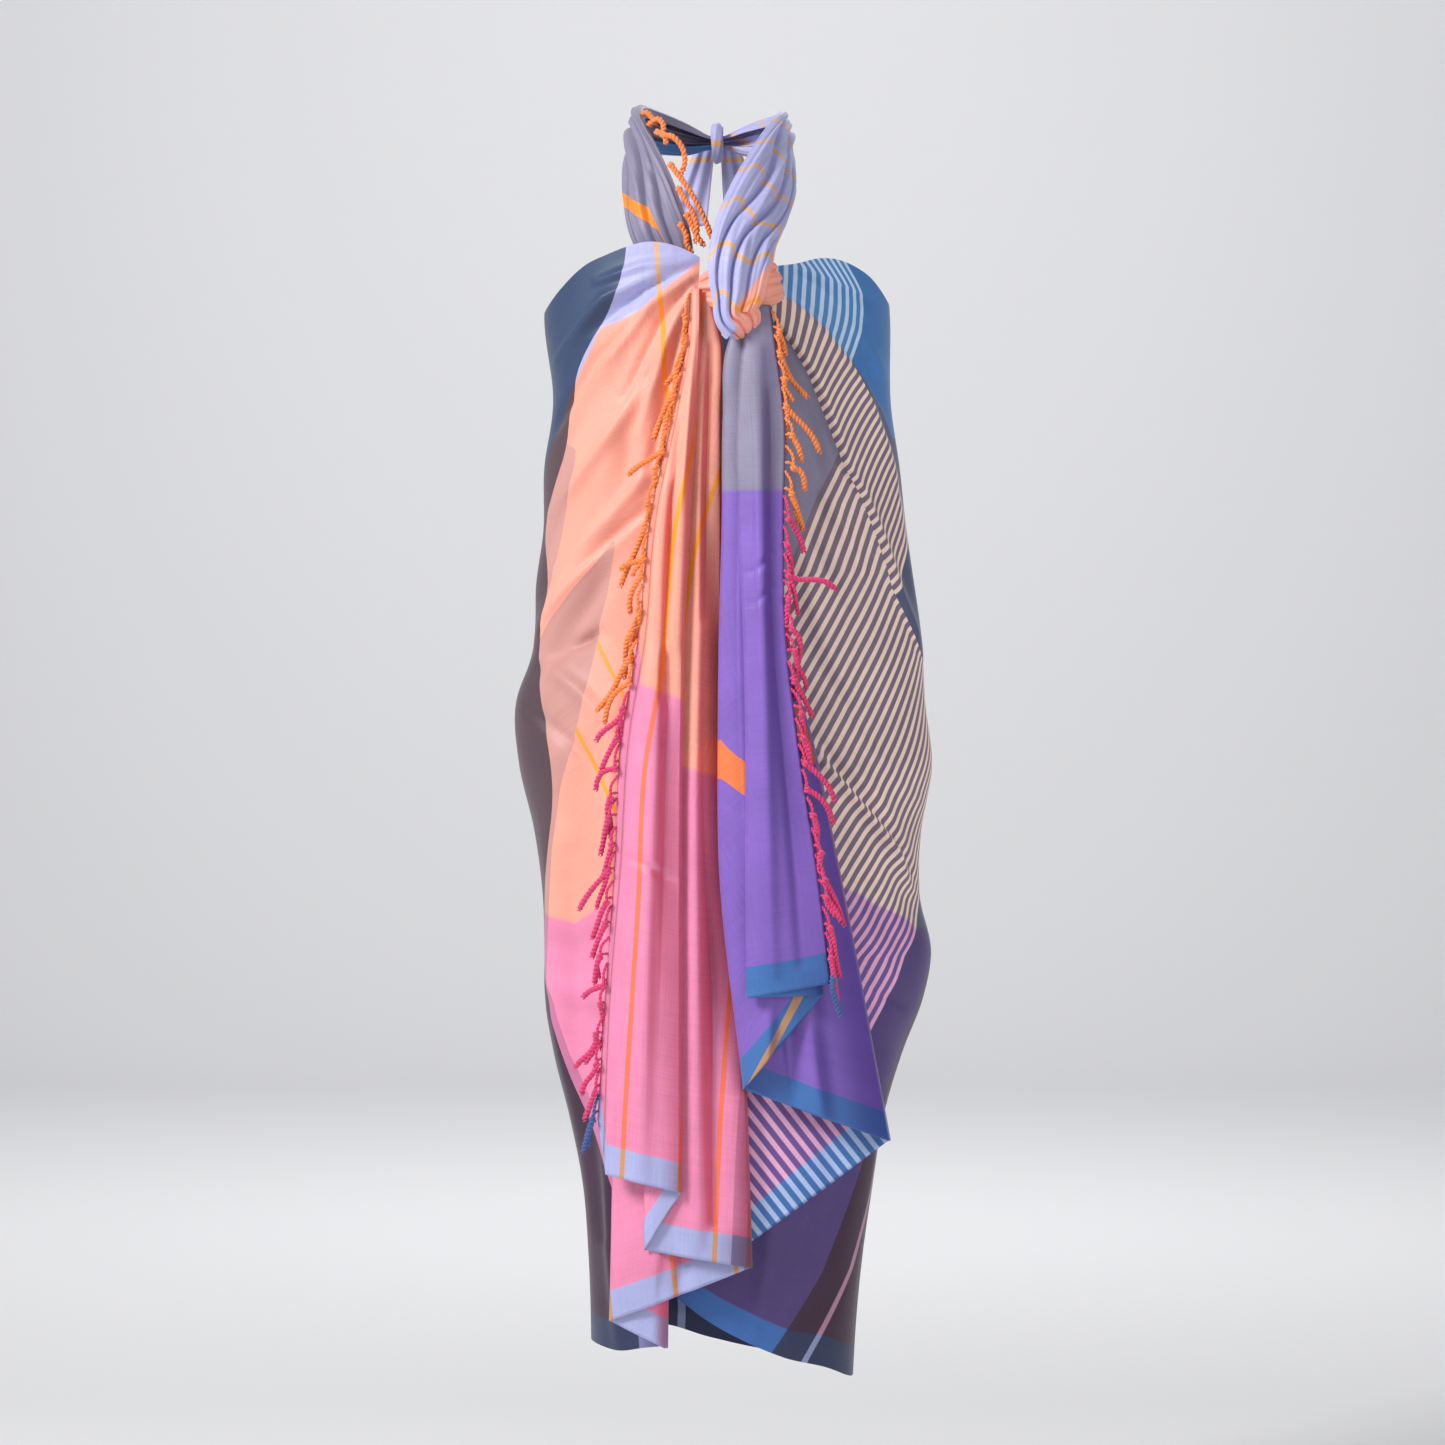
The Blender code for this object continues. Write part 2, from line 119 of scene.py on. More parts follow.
BACK_CREASES = (
    ("back_drag_1", -150, 240, -110, 520, -60, 900, 20, 5.0),
    ("back_drag_2", 140, 240, 100, 500, 70, 860, 20, 5.0),
    ("back_valley", -30, 230, -5, 560, 15, 1000, 24, -5.0),
    ("back_low_1", -110, 700, -95, 960, -70, 1250, 20, 5.0),
    ("back_low_2", 20, 760, 15, 1000, 5, 1265, 20, 5.0),
    ("back_low_3", 120, 700, 105, 980, 80, 1275, 20, 5.0),
    ("back_seat", -90, 560, 0, 600, 95, 570, 30, 4.0),
)
FINE_STRENGTH = 2.6
BACK_FINE_STRENGTH = 3.4
# The right panel is drawn tauter than the left one: x, and the share of the fine creases there.
TAUT_SIDE = ((20.0, 70.0), (1.0, 0.35))
# Finer creases, in the same columns.
FINE_FRONT_CREASES = (
    ("pleat_1", -24, 166, -70, 168, -120, 182, 4.0, 2.6),
    ("pleat_2", -24, 172, -75, 192, -130, 232, 4.5, -2.4),
    ("pleat_3", -22, 178, -62, 206, -105, 262, 4.5, 2.8),
    ("pleat_4", -22, 186, -56, 226, -92, 300, 4.5, -2.6),
    ("pleat_5", -24, 194, -48, 246, -78, 340, 5.0, 2.6),
    ("pleat_6", -30, 210, -45, 270, -66, 372, 5.0, -2.4),
    ("pleat_7", -32, 222, -44, 300, -56, 400, 5.0, 2.4),
    ("chest_drag_1", -60, 180, -110, 200, -166, 262, 5.0, 2.2),
    ("chest_drag_2", -75, 220, -125, 262, -168, 330, 6.0, -2.6),
    ("chest_drag_3", -70, 290, -112, 346, -164, 410, 7.0, 2.8),
    ("waist_drag_1", -64, 372, -104, 418, -160, 470, 7.0, 2.6),
    ("waist_drag_2", -70, 410, -110, 444, -150, 486, 5.0, -2.4),
    ("mauve_crease", -146, 549, -132, 541, -119, 533, 4.0, -3.0),
    ("hip_crease_1", -178, 560, -140, 590, -92, 640, 8.0, 2.4),
    ("hip_crease_2", -190, 610, -150, 642, -108, 690, 7.0, -2.2),
    ("left_fall_crease_1", -100, 600, -108, 790, -96, 1000, 10.0, 2.6),
    ("left_fall_crease_2", -150, 760, -148, 940, -118, 1140, 9.0, -2.6),
    ("left_fall_crease_3", -86, 760, -84, 960, -76, 1230, 8.0, 2.2),
    ("left_knee_crease", -170, 905, -120, 925, -86, 960, 12.0, -2.0),
    ("left_hem_crease", -112, 1060, -106, 1160, -98, 1250, 8.0, 2.2),
    ("right_top_pleat_1", 60, 172, 96, 186, 132, 214, 4.5, 2.2),
    ("right_top_pleat_2", 58, 184, 90, 208, 120, 248, 4.5, -2.2),
    ("right_top_pleat_3", 56, 200, 84, 236, 108, 290, 5.0, 2.4),
    ("right_chest_drag_1", 120, 210, 150, 238, 176, 282, 6.0, 2.2),
    ("right_chest_drag_2", 112, 250, 140, 292, 168, 340, 6.0, -2.2),
    ("right_lobe_1", 100, 380, 126, 430, 158, 500, 7.0, 3.0),
    ("right_lobe_2", 84, 420, 112, 480, 150, 560, 8.0, -3.0),
    ("right_lobe_3", 86, 470, 104, 540, 146, 620, 9.0, 3.0),
    ("right_hip_1", 96, 560, 136, 620, 196, 690, 8.0, -2.6),
    ("right_hip_2", 110, 600, 156, 650, 212, 712, 8.0, 2.6),
    ("right_thigh_1", 126, 745, 160, 812, 206, 880, 8.0, -2.6),
    ("right_thigh_2", 130, 790, 158, 856, 196, 912, 8.0, 2.6),
    ("right_thigh_3", 143, 882, 170, 900, 197, 913, 5.0, -3.0),
    ("right_low_1", 150, 930, 142, 1050, 118, 1180, 8.0, 2.6),
    ("right_low_2", 100, 1000, 96, 1110, 74, 1220, 8.0, -2.2),
    ("right_low_3", 60, 1070, 52, 1150, 36, 1235, 8.0, 2.2),
)
FINE_BACK_CREASES = (
    ("back_top_1", -160, 226, -120, 300, -100, 420, 8.0, 2.4),
    ("back_top_2", -120, 222, -86, 330, -70, 500, 9.0, -2.6),
    ("back_top_3", -60, 222, -50, 340, -44, 470, 8.0, 2.2),
    ("back_top_4", 50, 222, 44, 360, 30, 520, 9.0, 2.4),
    ("back_top_5", 100, 220, 84, 320, 60, 470, 8.0, -2.4),
    ("back_top_6", 160, 214, 126, 300, 104, 410, 8.0, 2.2),
    ("back_mid_1", -176, 520, -130, 560, -60, 575, 8.0, 2.6),
    ("back_mid_2", 196, 520, 140, 556, 70, 566, 8.0, 2.6),
    ("back_mid_3", -100, 610, -40, 632, 20, 622, 9.0, -2.4),
    ("back_long_1", -150, 640, -140, 880, -112, 1160, 10.0, -2.8),
    ("back_long_2", -60, 700, -50, 930, -36, 1230, 9.0, 2.6),
    ("back_long_3", 60, 680, 56, 920, 44, 1250, 10.0, -2.8),
    ("back_long_4", 160, 700, 146, 900, 116, 1180, 9.0, 2.4),
)
# The falls. Columns: name, x at each station's drop, x at the hem, hem drop, how far the next leg stands out.
FALL_LEFT_STATIONS = (196, 244, 322, 422, 542, 642, 762, 902)
FALL_LEFT = (
    ("fringe_edge", (-27, -29, -44, -66, -78, -95, -101, -111), -118, 1016, 30),
    ("outer_curl", (-23, -25, -38, -58, -68, -84, -92, -104), -110, 1071, 35),
    ("outer_ridge", (-15, -15, -20, -26, -32, -34, -35, -35), -35, 1088, 28),
    ("outer_return", (-21, -21, -29, -42, -52, -62, -69, -72), -72, 1146, 22),
    ("middle_edge", (-8, 5, 5, 5, 5, 7, 13, 25), 35, 1164, 13),
    ("inner_edge", (-26, -28, -37, -49, -62, -72, -85, -97), -107, 1219, 7),
)
FALL_RIGHT_STATIONS = (212, 250, 322, 422, 542, 642, 762)
FALL_RIGHT = (
    ("fringe_edge", (53, 58, 67, 66, 68, 80, 98), 113, 881, 47),
    ("outer_edge", (33, 26, 20, 21, 26, 28, 28), 29, 895, 41),
    ("outer_return", (44, 45, 53, 55, 61, 73, 88), 105, 893, 35),
    ("middle_edge", (29, 11, 6, 5, 2, 1, 2), 26, 986, 27),
    ("inner_edge", (46, 47, 61, 65, 66, 95, 120), 173, 1041, 6),
)
FALL_HALF_SPAN = 262.0
FALL_DEPTH = 128.0
FOLD_RADIUS = 3.2
SEAM_FOLD_RADIUS = 1.8
LEG_BULGE = 0.045
MOST_BULGE = 3.0
FALL_STRENGTH = 1.75
LEG_SHARES = tuple(0.3 + 0.4 * i / 12 for i in range(13))
FALL_GATHER = ((200, 0.55), (300, 0.8), (420, 1.0), (1300, 1.0))
# Soft folds of the falls, in the creases' columns, for the leg that starts at each fold line.
FALL_LEFT_CREASES = {
    1: (
        ("deep_valley", -47, 560, -45, 800, -44, 1085, 6.5, -8.0),
        ("broad_ridge", -60, 560, -70, 840, -76, 1075, 10.0, 4.0),
        ("edge_valley", -88, 700, -98, 900, -100, 1060, 6.0, -3.0),
        ("cross_crease", -92, 752, -64, 768, -36, 787, 3.0, -2.6),
        ("chest_valley", -30, 235, -44, 400, -52, 600, 5.0, -4.5),
        ("chest_ridge", -24, 240, -34, 400, -40, 560, 5.0, 3.0),
        ("upper_edge_ridge", -46, 360, -60, 470, -74, 600, 6.0, 2.4),
    ),
    3: (
        ("deep_valley", 3, 400, -6, 640, -2, 1120, 5.0, -9.0),
        ("left_ridge", -14, 300, -22, 700, -20, 1140, 8.0, 4.0),
        ("right_ridge", 12, 640, 18, 900, 22, 1150, 7.0, 4.0),
        ("chest_valley", -6, 250, -10, 380, -12, 520, 4.0, -4.0),
        ("hem_valley", 8, 1000, 10, 1080, 8, 1158, 5.0, -3.0),
    ),
    4: (
        ("low_ridge", -52, 1060, -62, 1150, -70, 1210, 9.0, 4.0),
        ("low_valley", -24, 1070, -32, 1140, -36, 1200, 7.0, -4.0),
        ("edge_valley", -84, 1080, -90, 1150, -94, 1215, 6.0, -3.0),
    ),
}
FALL_RIGHT_CREASES = {
    0: (
        ("broad_ridge", 40, 260, 44, 500, 52, 870, 9.0, 4.0),
        ("edge_valley", 56, 300, 58, 520, 84, 860, 6.0, -3.5),
        ("fold_valley", 31, 330, 33, 560, 38, 880, 4.0, -3.0),
        ("cross_1", 30, 480, 44, 470, 62, 452, 3.0, -1.6),
        ("cross_2", 32, 512, 46, 500, 60, 489, 3.0, -1.4),
    ),
    2: (
        ("deep_valley", 14, 300, 14, 600, 30, 960, 4.5, -5.0),
        ("edge_ridge", 5, 300, 6, 600, 20, 960, 4.0, 3.0),
        ("hem_ridge", 52, 900, 50, 940, 46, 975, 7.0, 3.0),
    ),
    3: (
        ("low_ridge", 90, 900, 96, 960, 104, 1020, 9.0, 4.0),
        ("low_valley", 70, 910, 72, 960, 76, 1010, 7.0, -4.0),
        ("edge_ridge", 126, 840, 140, 940, 152, 1030, 8.0, 4.0),
    ),
}
# How far the right fall's hidden return has run from the fringe. Columns: drop, run.
RIGHT_RETURN_RUN = (
    (224, 31), (422, 60), (550, 80), (598, 94), (640, 118), (677, 140), (720, 150), (870, 144), (902, 88),
    (917, 76), (950, 94), (1000, 108),
)

# The right fall's last leg: the direction across its stripes, a place on them, and its hem.
LAST_LEG_ACROSS = (0.788, 0.616)
LAST_LEG_START = (1.62, -504.0)
LAST_LEG_HEM = 921.0
# How fast u runs along the fourth leg, and where the outer legs' slack in v starts to fade, and over what.
FOURTH_LEG_RATE = 0.26
SLACK_FADE = (430.0, 450.0)
CLEAR_OF_STRIPES = 0.01

# Straps and knot. Columns: x, y, drop, width, thickness.
STRAP_LEFT = (
    (-34, -164, 196, 30, 11),
    (-43, -163, 168, 44, 13),
    (-52, -162, 145, 58, 16),
    (-61, -158, 122, 64, 20),
    (-69, -145, 95, 66, 22),
    (-77, -125, 66, 62, 21),
    (-83, -96, 38, 56, 20),
    (-81, -60, 17, 50, 20),
    (-62, -20, 14, 44, 20),
    (-32, 4, 18, 32, 17),
    (-10, 11, 20, 15, 15),
    (-1.5, 12, 20, 14, 14),
)
STRAP_RIGHT = (
    (14, -237, 240, 16, 12),
    (16, -236, 222, 38, 18),
    (20, -235, 200, 54, 22),
    (23, -231, 170, 63, 26),
    (29, -217, 140, 65, 26),
    (43, -193, 106, 68, 24),
    (56, -160, 74, 66, 22),
    (64, -122, 46, 60, 21),
    (68, -82, 27, 52, 20),
    (60, -34, 20, 44, 20),
    (32, 2, 19, 32, 17),
    (10, 11, 20, 15, 15),
    (1.5, 12, 20, 14, 14),
)
# The right strap's lower end is tucked in, and the knot's cloth is fuller than its solid.
STRAP_RIGHT_SHOWN = ((27, -222, 242, 20, 7), (24, -233, 231, 44, 14)) + STRAP_RIGHT[1:]
KNOT_SHOWN = (
    (-16, -203, 194, 26, 12),
    (0, -210, 194, 42, 18),
    (22, -214, 194, 48, 20),
    (42, -210, 192, 46, 18),
    (60, -194, 186, 38, 14),
)
# Deep valleys between the straps' folds. Columns: turn, spread, depth.
LEFT_VALLEYS = ((0.12, 0.10, 0.85), (0.66, 0.09, 0.7), (-0.7, 0.10, 0.45))
RIGHT_VALLEYS = ((-0.55, 0.09, 0.6), (0.05, 0.10, 0.75), (0.62, 0.08, 0.5), (1.05, 0.07, 0.3))
KNOT_VALLEYS = ((-0.4, 0.12, 0.5), (0.3, 0.1, 0.5))
# The turn past which the right strap's cloth is peach. Columns: length from its lower end, turn.
STRAP_PEACH_EDGE = ((0, -0.9), (16, -0.45), (40, 0.15), (64, 0.65), (84, 1.15), (500, 3.2))
STRAP_TURN = math.radians(152)
STRAP_PLEATS = 3
STRAP_PLEAT_DEPTH = 0.16
TIE_RADIUS = 15.2
TIE_THICKNESS = 6.4
TIE_MIDDLE_Y = 12.0
TAIL_LENGTH = 92.0
TAIL_TOP_Z = 6.0
TAIL_CURL = 3.0
TAIL_TUCK = 0.8
TAILS = (("tie_tail_left", -11, -34, 18, 46), ("tie_tail_right", 12, 30, 18, 44))

# Where the plaid's bands lie on the flat cloth.
BLUE_WARP_END = 0.14
PEACH_WARP_END = 0.635
BORDER_START = 1.09
# Within this of the hem, v is measured from the hem.
HEM_REACH = 80.0
MAUVE_EDGE = 0.42
DARK_EDGE = 0.47
PLUM_END = 1.2
STRIPES_START = 1.29
STRIPES_END = 1.64
STRIPE_PITCH = 0.011
# Lines on the left panel. Columns: drop, x of the dark cloth's edge, and of the mauve band's other edge.
LEFT_DARK_LINE = (
    (150, -91), (188, -91), (199, -100), (228, -117), (264, -143), (292, -153), (324, -142), (342, -150),
    (403, -171), (426, -177), (453, -179), (472, -171), (495, -162), (520, -172), (550, -184), (570, -182),
    (600, -178), (642, -172), (686, -161), (753, -170), (815, -174), (888, -176), (960, -157), (1018, -137),
    (1090, -103), (1237, -77),
)
LEFT_MAUVE_LINE = (
    (150, -78), (228, -96), (292, -128), (324, -130), (403, -140), (445, -102), (495, -110), (526, -118),
    (549, -121), (642, -144), (686, -156), (753, -165), (888, -171), (960, -150), (1018, -125), (1090, -85),
    (1237, -50),
)
# The mauve band's other edge above the drag line, in the same order.
LEFT_UPPER_MAUVE_LINE = (
    (150, -200), (312, -190), (350, -142), (375, -145), (441, -158), (496, -170), (560, -186),
)
# The thin orange threads that cross the left panel below and above the drag line. Columns: drop, x.
LEFT_LOWER_THREAD = ((400, -256), (628, -141), (717, -96), (820, -60), (1250, -40))
LEFT_UPPER_THREAD = ((150, -58), (194, -55), (235, -51), (284, -50), (326, -42), (434, 0), (560, 60))
# The drops at which the blue warp and the peach warp end. Columns: x, drop.
LEFT_BLUE_END = (
    (-180, 385), (-172, 355), (-153, 300), (-128, 250), (-117, 229), (-96, 223), (-78, 214), (-55, 194),
    (-17, 165),
)
RIGHT_BLUE_END = (
    (44, 188), (50, 192), (76, 203), (94, 217), (111, 232), (125, 249), (140, 269), (149, 280), (168, 310),
    (178, 335),
)
LEFT_PEACH_END = ((-177, 818), (-145, 827), (-115, 808), (-40, 800))
RIGHT_PEACH_END = ((0, 780), (126, 790), (143, 796), (157, 806), (192, 822), (200, 832))
BACK_BLUE_END = 335.0
BACK_PEACH_END = 825.0
# How far left the stripes above the gather lip have leaned. Columns: drop, lean.
UPPER_LEAN = (
    (150, 0), (188, 0), (230, 3), (260, 12), (302, 35), (352, 66), (402, 98), (470, 141), (556, 196),
)
UPPER_STRIPE_EDGE = 150.0
UPPER_SHIFT = 20 * STRIPE_PITCH
TOP_SLANT = 0.8
TOP_SLANT_LINE = ((44, 150), (79, 167), (140, 189), (152, 194), (178, 206))
# The last stripe's edge below the gather lip. Columns: drop, x. Then how fast u runs from it.
LOBE_EDGE = (
    (199, 100), (356, 126), (367, 122), (404, 103), (474, 75), (926, -196), (1176, -321), (1261, -386),
    (1300, -410),
)
LOBE_RATE = 0.9
UPPER_RATE = 1.08
ROUND_REACH = 0.9
LAST_RUN = 1.69
# Under the last leg of the right fall, u stays below this, from this far above the leg's hem.
COVERED_RUN = 1.284
COVERED_OVERLAP = 14.0
# u along the right side in the layer that goes round the back. Columns: drop, run. Then how far behind the
# side that layer's edge lies, how much it wanders, and over what length of drop.
SIDE_RUN = ((150, 1.262), (330, 1.238), (800, 1.238))
SIDE_TUCK = (14.0, 6.0, 90.0)
SIDE_TUCK_FADE = 60.0
SIDE_START = 262.0
GATHER_LINE = (
    (199, 45), (230, 58), (249, 74), (278, 91), (313, 105), (356, 122), (367, 126), (396, 143),
    (431, 157), (466, 169), (489, 175), (538, 199), (575, 216),
)
SIDE_LINE = ((262, 134), (305, 156), (341, 171), (372, 181), (410, 190), (474, 200), (525, 213), (560, 226))
DRAG_LINE = ((434, -98), (460, -117), (490, -144), (520, -166), (552, -184))

LIP_WIDTH = 11.0
LIP_END_FADE = 40.0
LIP_SINK = 0.5
# Lips, where a fold lies over the cloth below it. Columns: name, which side of the line is the upper
# layer, its height and reach, and the line.
LIPS = (
    ("gather_lip", 1, 6.0, 12.0, GATHER_LINE),
    ("side_lip", -1, 5.0, 10.0, SIDE_LINE),
    ("deep_lip", -1, 12.0, 14.0,
     ((636, 96), (645, 99), (667, 112), (721, 157), (752, 179), (801, 202))),
    ("drag_lip", -1, 5.0, 16.0, DRAG_LINE),
    ("arc_lip", -1, 3.0, 10.0,
     ((194, 50), (211, 87), (231, 110), (252, 125), (270, 138), (285, 151), (308, 166), (331, 176))),
)

# Bands of the weft. Columns: where each starts on the flat cloth, and its kind.
THIN_LINES = (0.022, 0.078, 0.187, 0.240, 0.300, 0.365)
THIN_LINE_WIDTH = 0.004
WEFT_BANDS = (
    (0.0, "light"),
    (0.203, "mauve"),
    (0.219, "brown"),
    (0.224, "mauve"),
    (0.232, "light"),
    (0.42, "mauve"),
    (0.47, "dark"),
    (0.844, "pale"),
    (0.856, "dark"),
    (1.176, "pale"),
    (1.184, "dark"),
    # The blue weft again, here with painted shade: darker over the peach and magenta warps, for the body in
    # the falls' shadow.
    (1.22, "blue_with_painted_shade"),
    (1.288, "ground"),
    (1.645, "blue"),
    (1.703, "orange"),
    (1.725, "blue"),
)
# Colours, sRGB. Columns: over the blue, peach and magenta warps, and over the border.
COLOURS = {
    "light": ((178, 178, 222), (248, 166, 146), (236, 138, 176), (172, 176, 222)),
    "mauve": ((140, 132, 168), (204, 148, 140), (200, 118, 156), (120, 122, 165)),
    "brown": ((150, 100, 90), (190, 100, 60), (190, 90, 90), (130, 100, 110)),
    "dark": ((52, 70, 102), (84, 64, 72), (60, 32, 58), (44, 52, 86)),
    "pale": ((170, 190, 220), (190, 160, 150), (180, 130, 155), (140, 150, 190)),
    "blue": ((70, 126, 188), (138, 132, 158), (132, 98, 190), (66, 114, 180)),
    "ground": ((76, 134, 196), (124, 106, 128), (112, 82, 152), (66, 114, 180)),
    # Painted shade: the blue band's colours made darker over the peach and magenta warps, where the body lies
    # in the falls' shadow.
    "blue_with_painted_shade": ((66, 122, 186), (80, 88, 118), (80, 62, 120), (58, 104, 172)),
    "orange": ((230, 150, 90), (250, 142, 44), (240, 125, 70), (196, 150, 110)),
    "thread": ((222, 172, 128), (255, 160, 50), (246, 120, 88), (205, 150, 105)),
    "stripe": ((194, 220, 248), (255, 226, 206), (238, 178, 212), (180, 200, 238)),
}
# Painted shade in a shot-silk hue: what the falls' colour is multiplied by where a fold turns away to the
# right, from the key light: the falls on the left and on the right.
LEFT_SHOT_HUE_AND_PAINTED_SHADE = (0.80, 0.36, 0.42, 1.0)
RIGHT_SHOT_HUE_AND_PAINTED_SHADE = (0.50, 0.42, 0.66, 1.0)
WARP_NAMES = ("blue", "peach", "magenta", "border")

FRINGE_PITCH = 26.0
TWIST_LENGTH = 8.5
YARN_SIDES = 5
THREAD_RADIUS = 1.0
TASSEL_RADIUS = 1.8
KNOT_RADIUS = 3.2
TASSEL_SETTLE = 0.22
FRINGE_COLOURS = (
    ("orange_yarn", (250, 138, 66)),
    ("magenta_yarn", (226, 52, 116)),
    ("blue_yarn", (58, 92, 156)),
)
LEFT_FRINGE_ENDS = (600.0, 990.0)
RIGHT_FRINGE_ENDS = (408.0, 850.0)
# The cords at the left strap's edge. Points: x, y, drop.
STRAP_CORDS = (
    ((-53, -176, 38), (-44, -178, 40), (-35, -178, 50), (-32, -178, 64), (-36, -177, 78)),
    ((-46, -177, 68), (-37, -179, 80), (-27, -180, 94), (-18, -180, 110), (-10, -180, 128), (-5, -179, 142)),
    ((-38, -178, 92), (-31, -180, 104), (-24, -181, 116), (-20, -181, 130), (-22, -179, 147)),
    ((-30, -178, 118), (-25, -180, 128), (-20, -181, 139), (-12, -180, 150)),
    ((-36, -178, 128), (-31, -180, 138), (-30, -180, 148), (-24, -180, 156)),
    ((-80, -84, 10), (-73, -92, 3), (-66, -100, 10), (-61, -108, 17)),
    ((-68, -112, 18), (-60, -122, 14), (-54, -130, 22), (-56, -134, 34)),
    ((-60, -140, 30), (-53, -148, 34), (-51, -152, 44)),
)

BODY_ROWS = 330
FALL_ROWS = 230
STRAP_THREAD_PITCH = 0.046
STRAP_THREAD_START = 0.262


def linear(colour):
    """An sRGB colour of 0 to 255 as the linear colour that shaders take."""
    parts = []
    for part in colour:
        share = part / 255
        parts.append(share / 12.92 if share <= 0.04045 else ((share + 0.055) / 1.055) ** 2.4)
    return (*parts, 1.0)


def curve(keys, values, at):
    """A smooth curve through the values, read at these places."""
    keys = np.asarray(keys, float)
    values = np.asarray(values, float)
    at = np.clip(np.asarray(at, float), keys[0], keys[-1])
    slopes = np.gradient(values, keys)
    low = np.clip(np.searchsorted(keys, at) - 1, 0, len(keys) - 2)
    span = keys[low + 1] - keys[low]
    t = (at - keys[low]) / span
    start = (1 + 2 * t) * (1 - t) ** 2 * values[low] + t * (1 - t) ** 2 * span * slopes[low]
    end = t * t * (3 - 2 * t) * values[low + 1] + t * t * (t - 1) * span * slopes[low + 1]
    return start + end


def table_curve(table, at):
    """The same, through a table of pairs."""
    keys, values = zip(*table)
    return curve(keys, values, at)


def table_line(table, at):
    """Straight lines through a table of pairs."""
    keys, values = zip(*table)
    return np.interp(at, keys, values)


def soft_line(table, place):
    """The same line with its corners rounded off."""
    return sum(table_line(table, place + step) for step in (-36, -24, -12, 0, 12, 24, 36)) / 7


def body_section(drop):
    """The middle, half-width and half-depth of the wrapped body at this height."""
    drops, lefts, rights, depths = zip(*BODY)
    left = curve(drops, lefts, drop)
    right = curve(drops, rights, drop)
    return (left + right) / 2, (right - left) / 2, curve(drops, depths, drop)


def body_turn(x, drop):
    """How far round from the front this x lies, in radians, positive to the right."""
    middle, width, _ = body_section(drop)
    return np.arcsin(np.clip((x - middle) / width, -1, 1))


def crease_rise(x, drop, creases):
    """How far the creases lift the cloth at this place."""
    total = np.zeros(np.broadcast(x, drop).shape)
    for _, x0, drop0, x1, drop1, x2, drop2, width, rise in creases:
        best = np.full(total.shape, np.inf)
        along = np.zeros(total.shape)
        for part, (ax, ad, bx, bd) in enumerate(((x0, drop0, x1, drop1), (x1, drop1, x2, drop2))):
            length2 = (bx - ax) ** 2 + (bd - ad) ** 2
            t = np.clip(((x - ax) * (bx - ax) + (drop - ad) * (bd - ad)) / length2, 0, 1)
            distance = np.hypot(x - ax - t * (bx - ax), drop - ad - t * (bd - ad))
            nearer = distance < best
            best = np.where(nearer, distance, best)
            along = np.where(nearer, (part + t) / 2, along)
        fade = np.sin(math.pi * (0.12 + 0.76 * along))
        total += rise * fade * np.exp(-((best / width) ** 2))
    return total


def lip_rise(x, drop):
    """How far the lips of the folds lift the cloth: a step at the line, easing away over its reach."""
    total = np.zeros(np.broadcast(x, drop).shape)
    for _, side, height, reach, line in LIPS:
        off = (x - table_line(line, drop)) * side
        start, end = line[0][0], line[-1][0]
        ends = np.clip(np.minimum(drop - start, end - drop) / LIP_END_FADE, 0, 1)
        lifted = height * np.exp(-np.maximum(off, 0) / reach)
        sunk = -LIP_SINK * height * np.exp(-np.maximum(-off, 0) / reach)
        share = np.clip(off / LIP_WIDTH + 0.5, 0, 1)
        share = share * share * (3 - 2 * share)
        total += (sunk + (lifted - sunk) * share) * ends
    return total


def body_points(turn, drop, lips=1.0):
    """Points of the wrapped cloth, in millimetres, with its creases and its folds' lips."""
    middle, width, depth = body_section(drop)
    x = middle + width * np.sin(turn)
    facing = np.cos(turn)
    fine = FINE_STRENGTH * np.interp(x, *TAUT_SIDE)
    front = crease_rise(x, drop, FRONT_CREASES) + fine * crease_rise(x, drop, FINE_FRONT_CREASES)
    front = front + lips * lip_rise(x, drop)
    back = crease_rise(x, drop, BACK_CREASES) + BACK_FINE_STRENGTH * crease_rise(x, drop, FINE_BACK_CREASES)
    side_fade = np.clip(np.abs(facing) / 0.3, 0, 1)
    out = np.where(facing > 0, front, back) * side_fade
    return np.stack(
        [
            middle + (width + out) * np.sin(turn),
            BODY_MIDDLE_Y - (depth + out) * facing,
            NAPE_DROP - drop,
        ],
        axis=-1,
    )


def body_places(turn_start, turn_end, top, hem, columns, rows):
    """Turn and drop of a grid over the wrapped body between two turns, each a number or a table."""

    def turn_at(edge, drop):
        if isinstance(edge, tuple):
            return body_turn(table_curve(edge, drop), drop)
        return np.full(np.shape(drop), edge)

    across = np.linspace(0, 1, columns)

    def ends(table, drop):
        turns = turn_at(turn_start, drop) * (1 - across) + turn_at(turn_end, drop) * across
        middle, width, _ = body_section(drop)
        return table_curve(table, middle + width * np.sin(turns))

    top_drop = ends(top, np.full(columns, TOP_READ))
    hem_drop = ends(hem, np.full(columns, HEM_READ))
    down = np.linspace(0, 1, rows)[:, None]
    drop = top_drop + (hem_drop - top_drop) * down
    turn = turn_at(turn_start, drop) * (1 - across) + turn_at(turn_end, drop) * across
    return turn, drop, hem_drop + np.zeros_like(drop)


def arc(start, end, drop):
    """The length round the body from one turn to another, in millimetres."""
    _, width, depth = body_section(drop)

    def rate(turn):
        return np.sqrt((width * np.cos(turn)) ** 2 + (depth * np.sin(turn)) ** 2)

    return (end - start) * (rate(start) + 4 * rate((start + end) / 2) + rate(end)) / 6


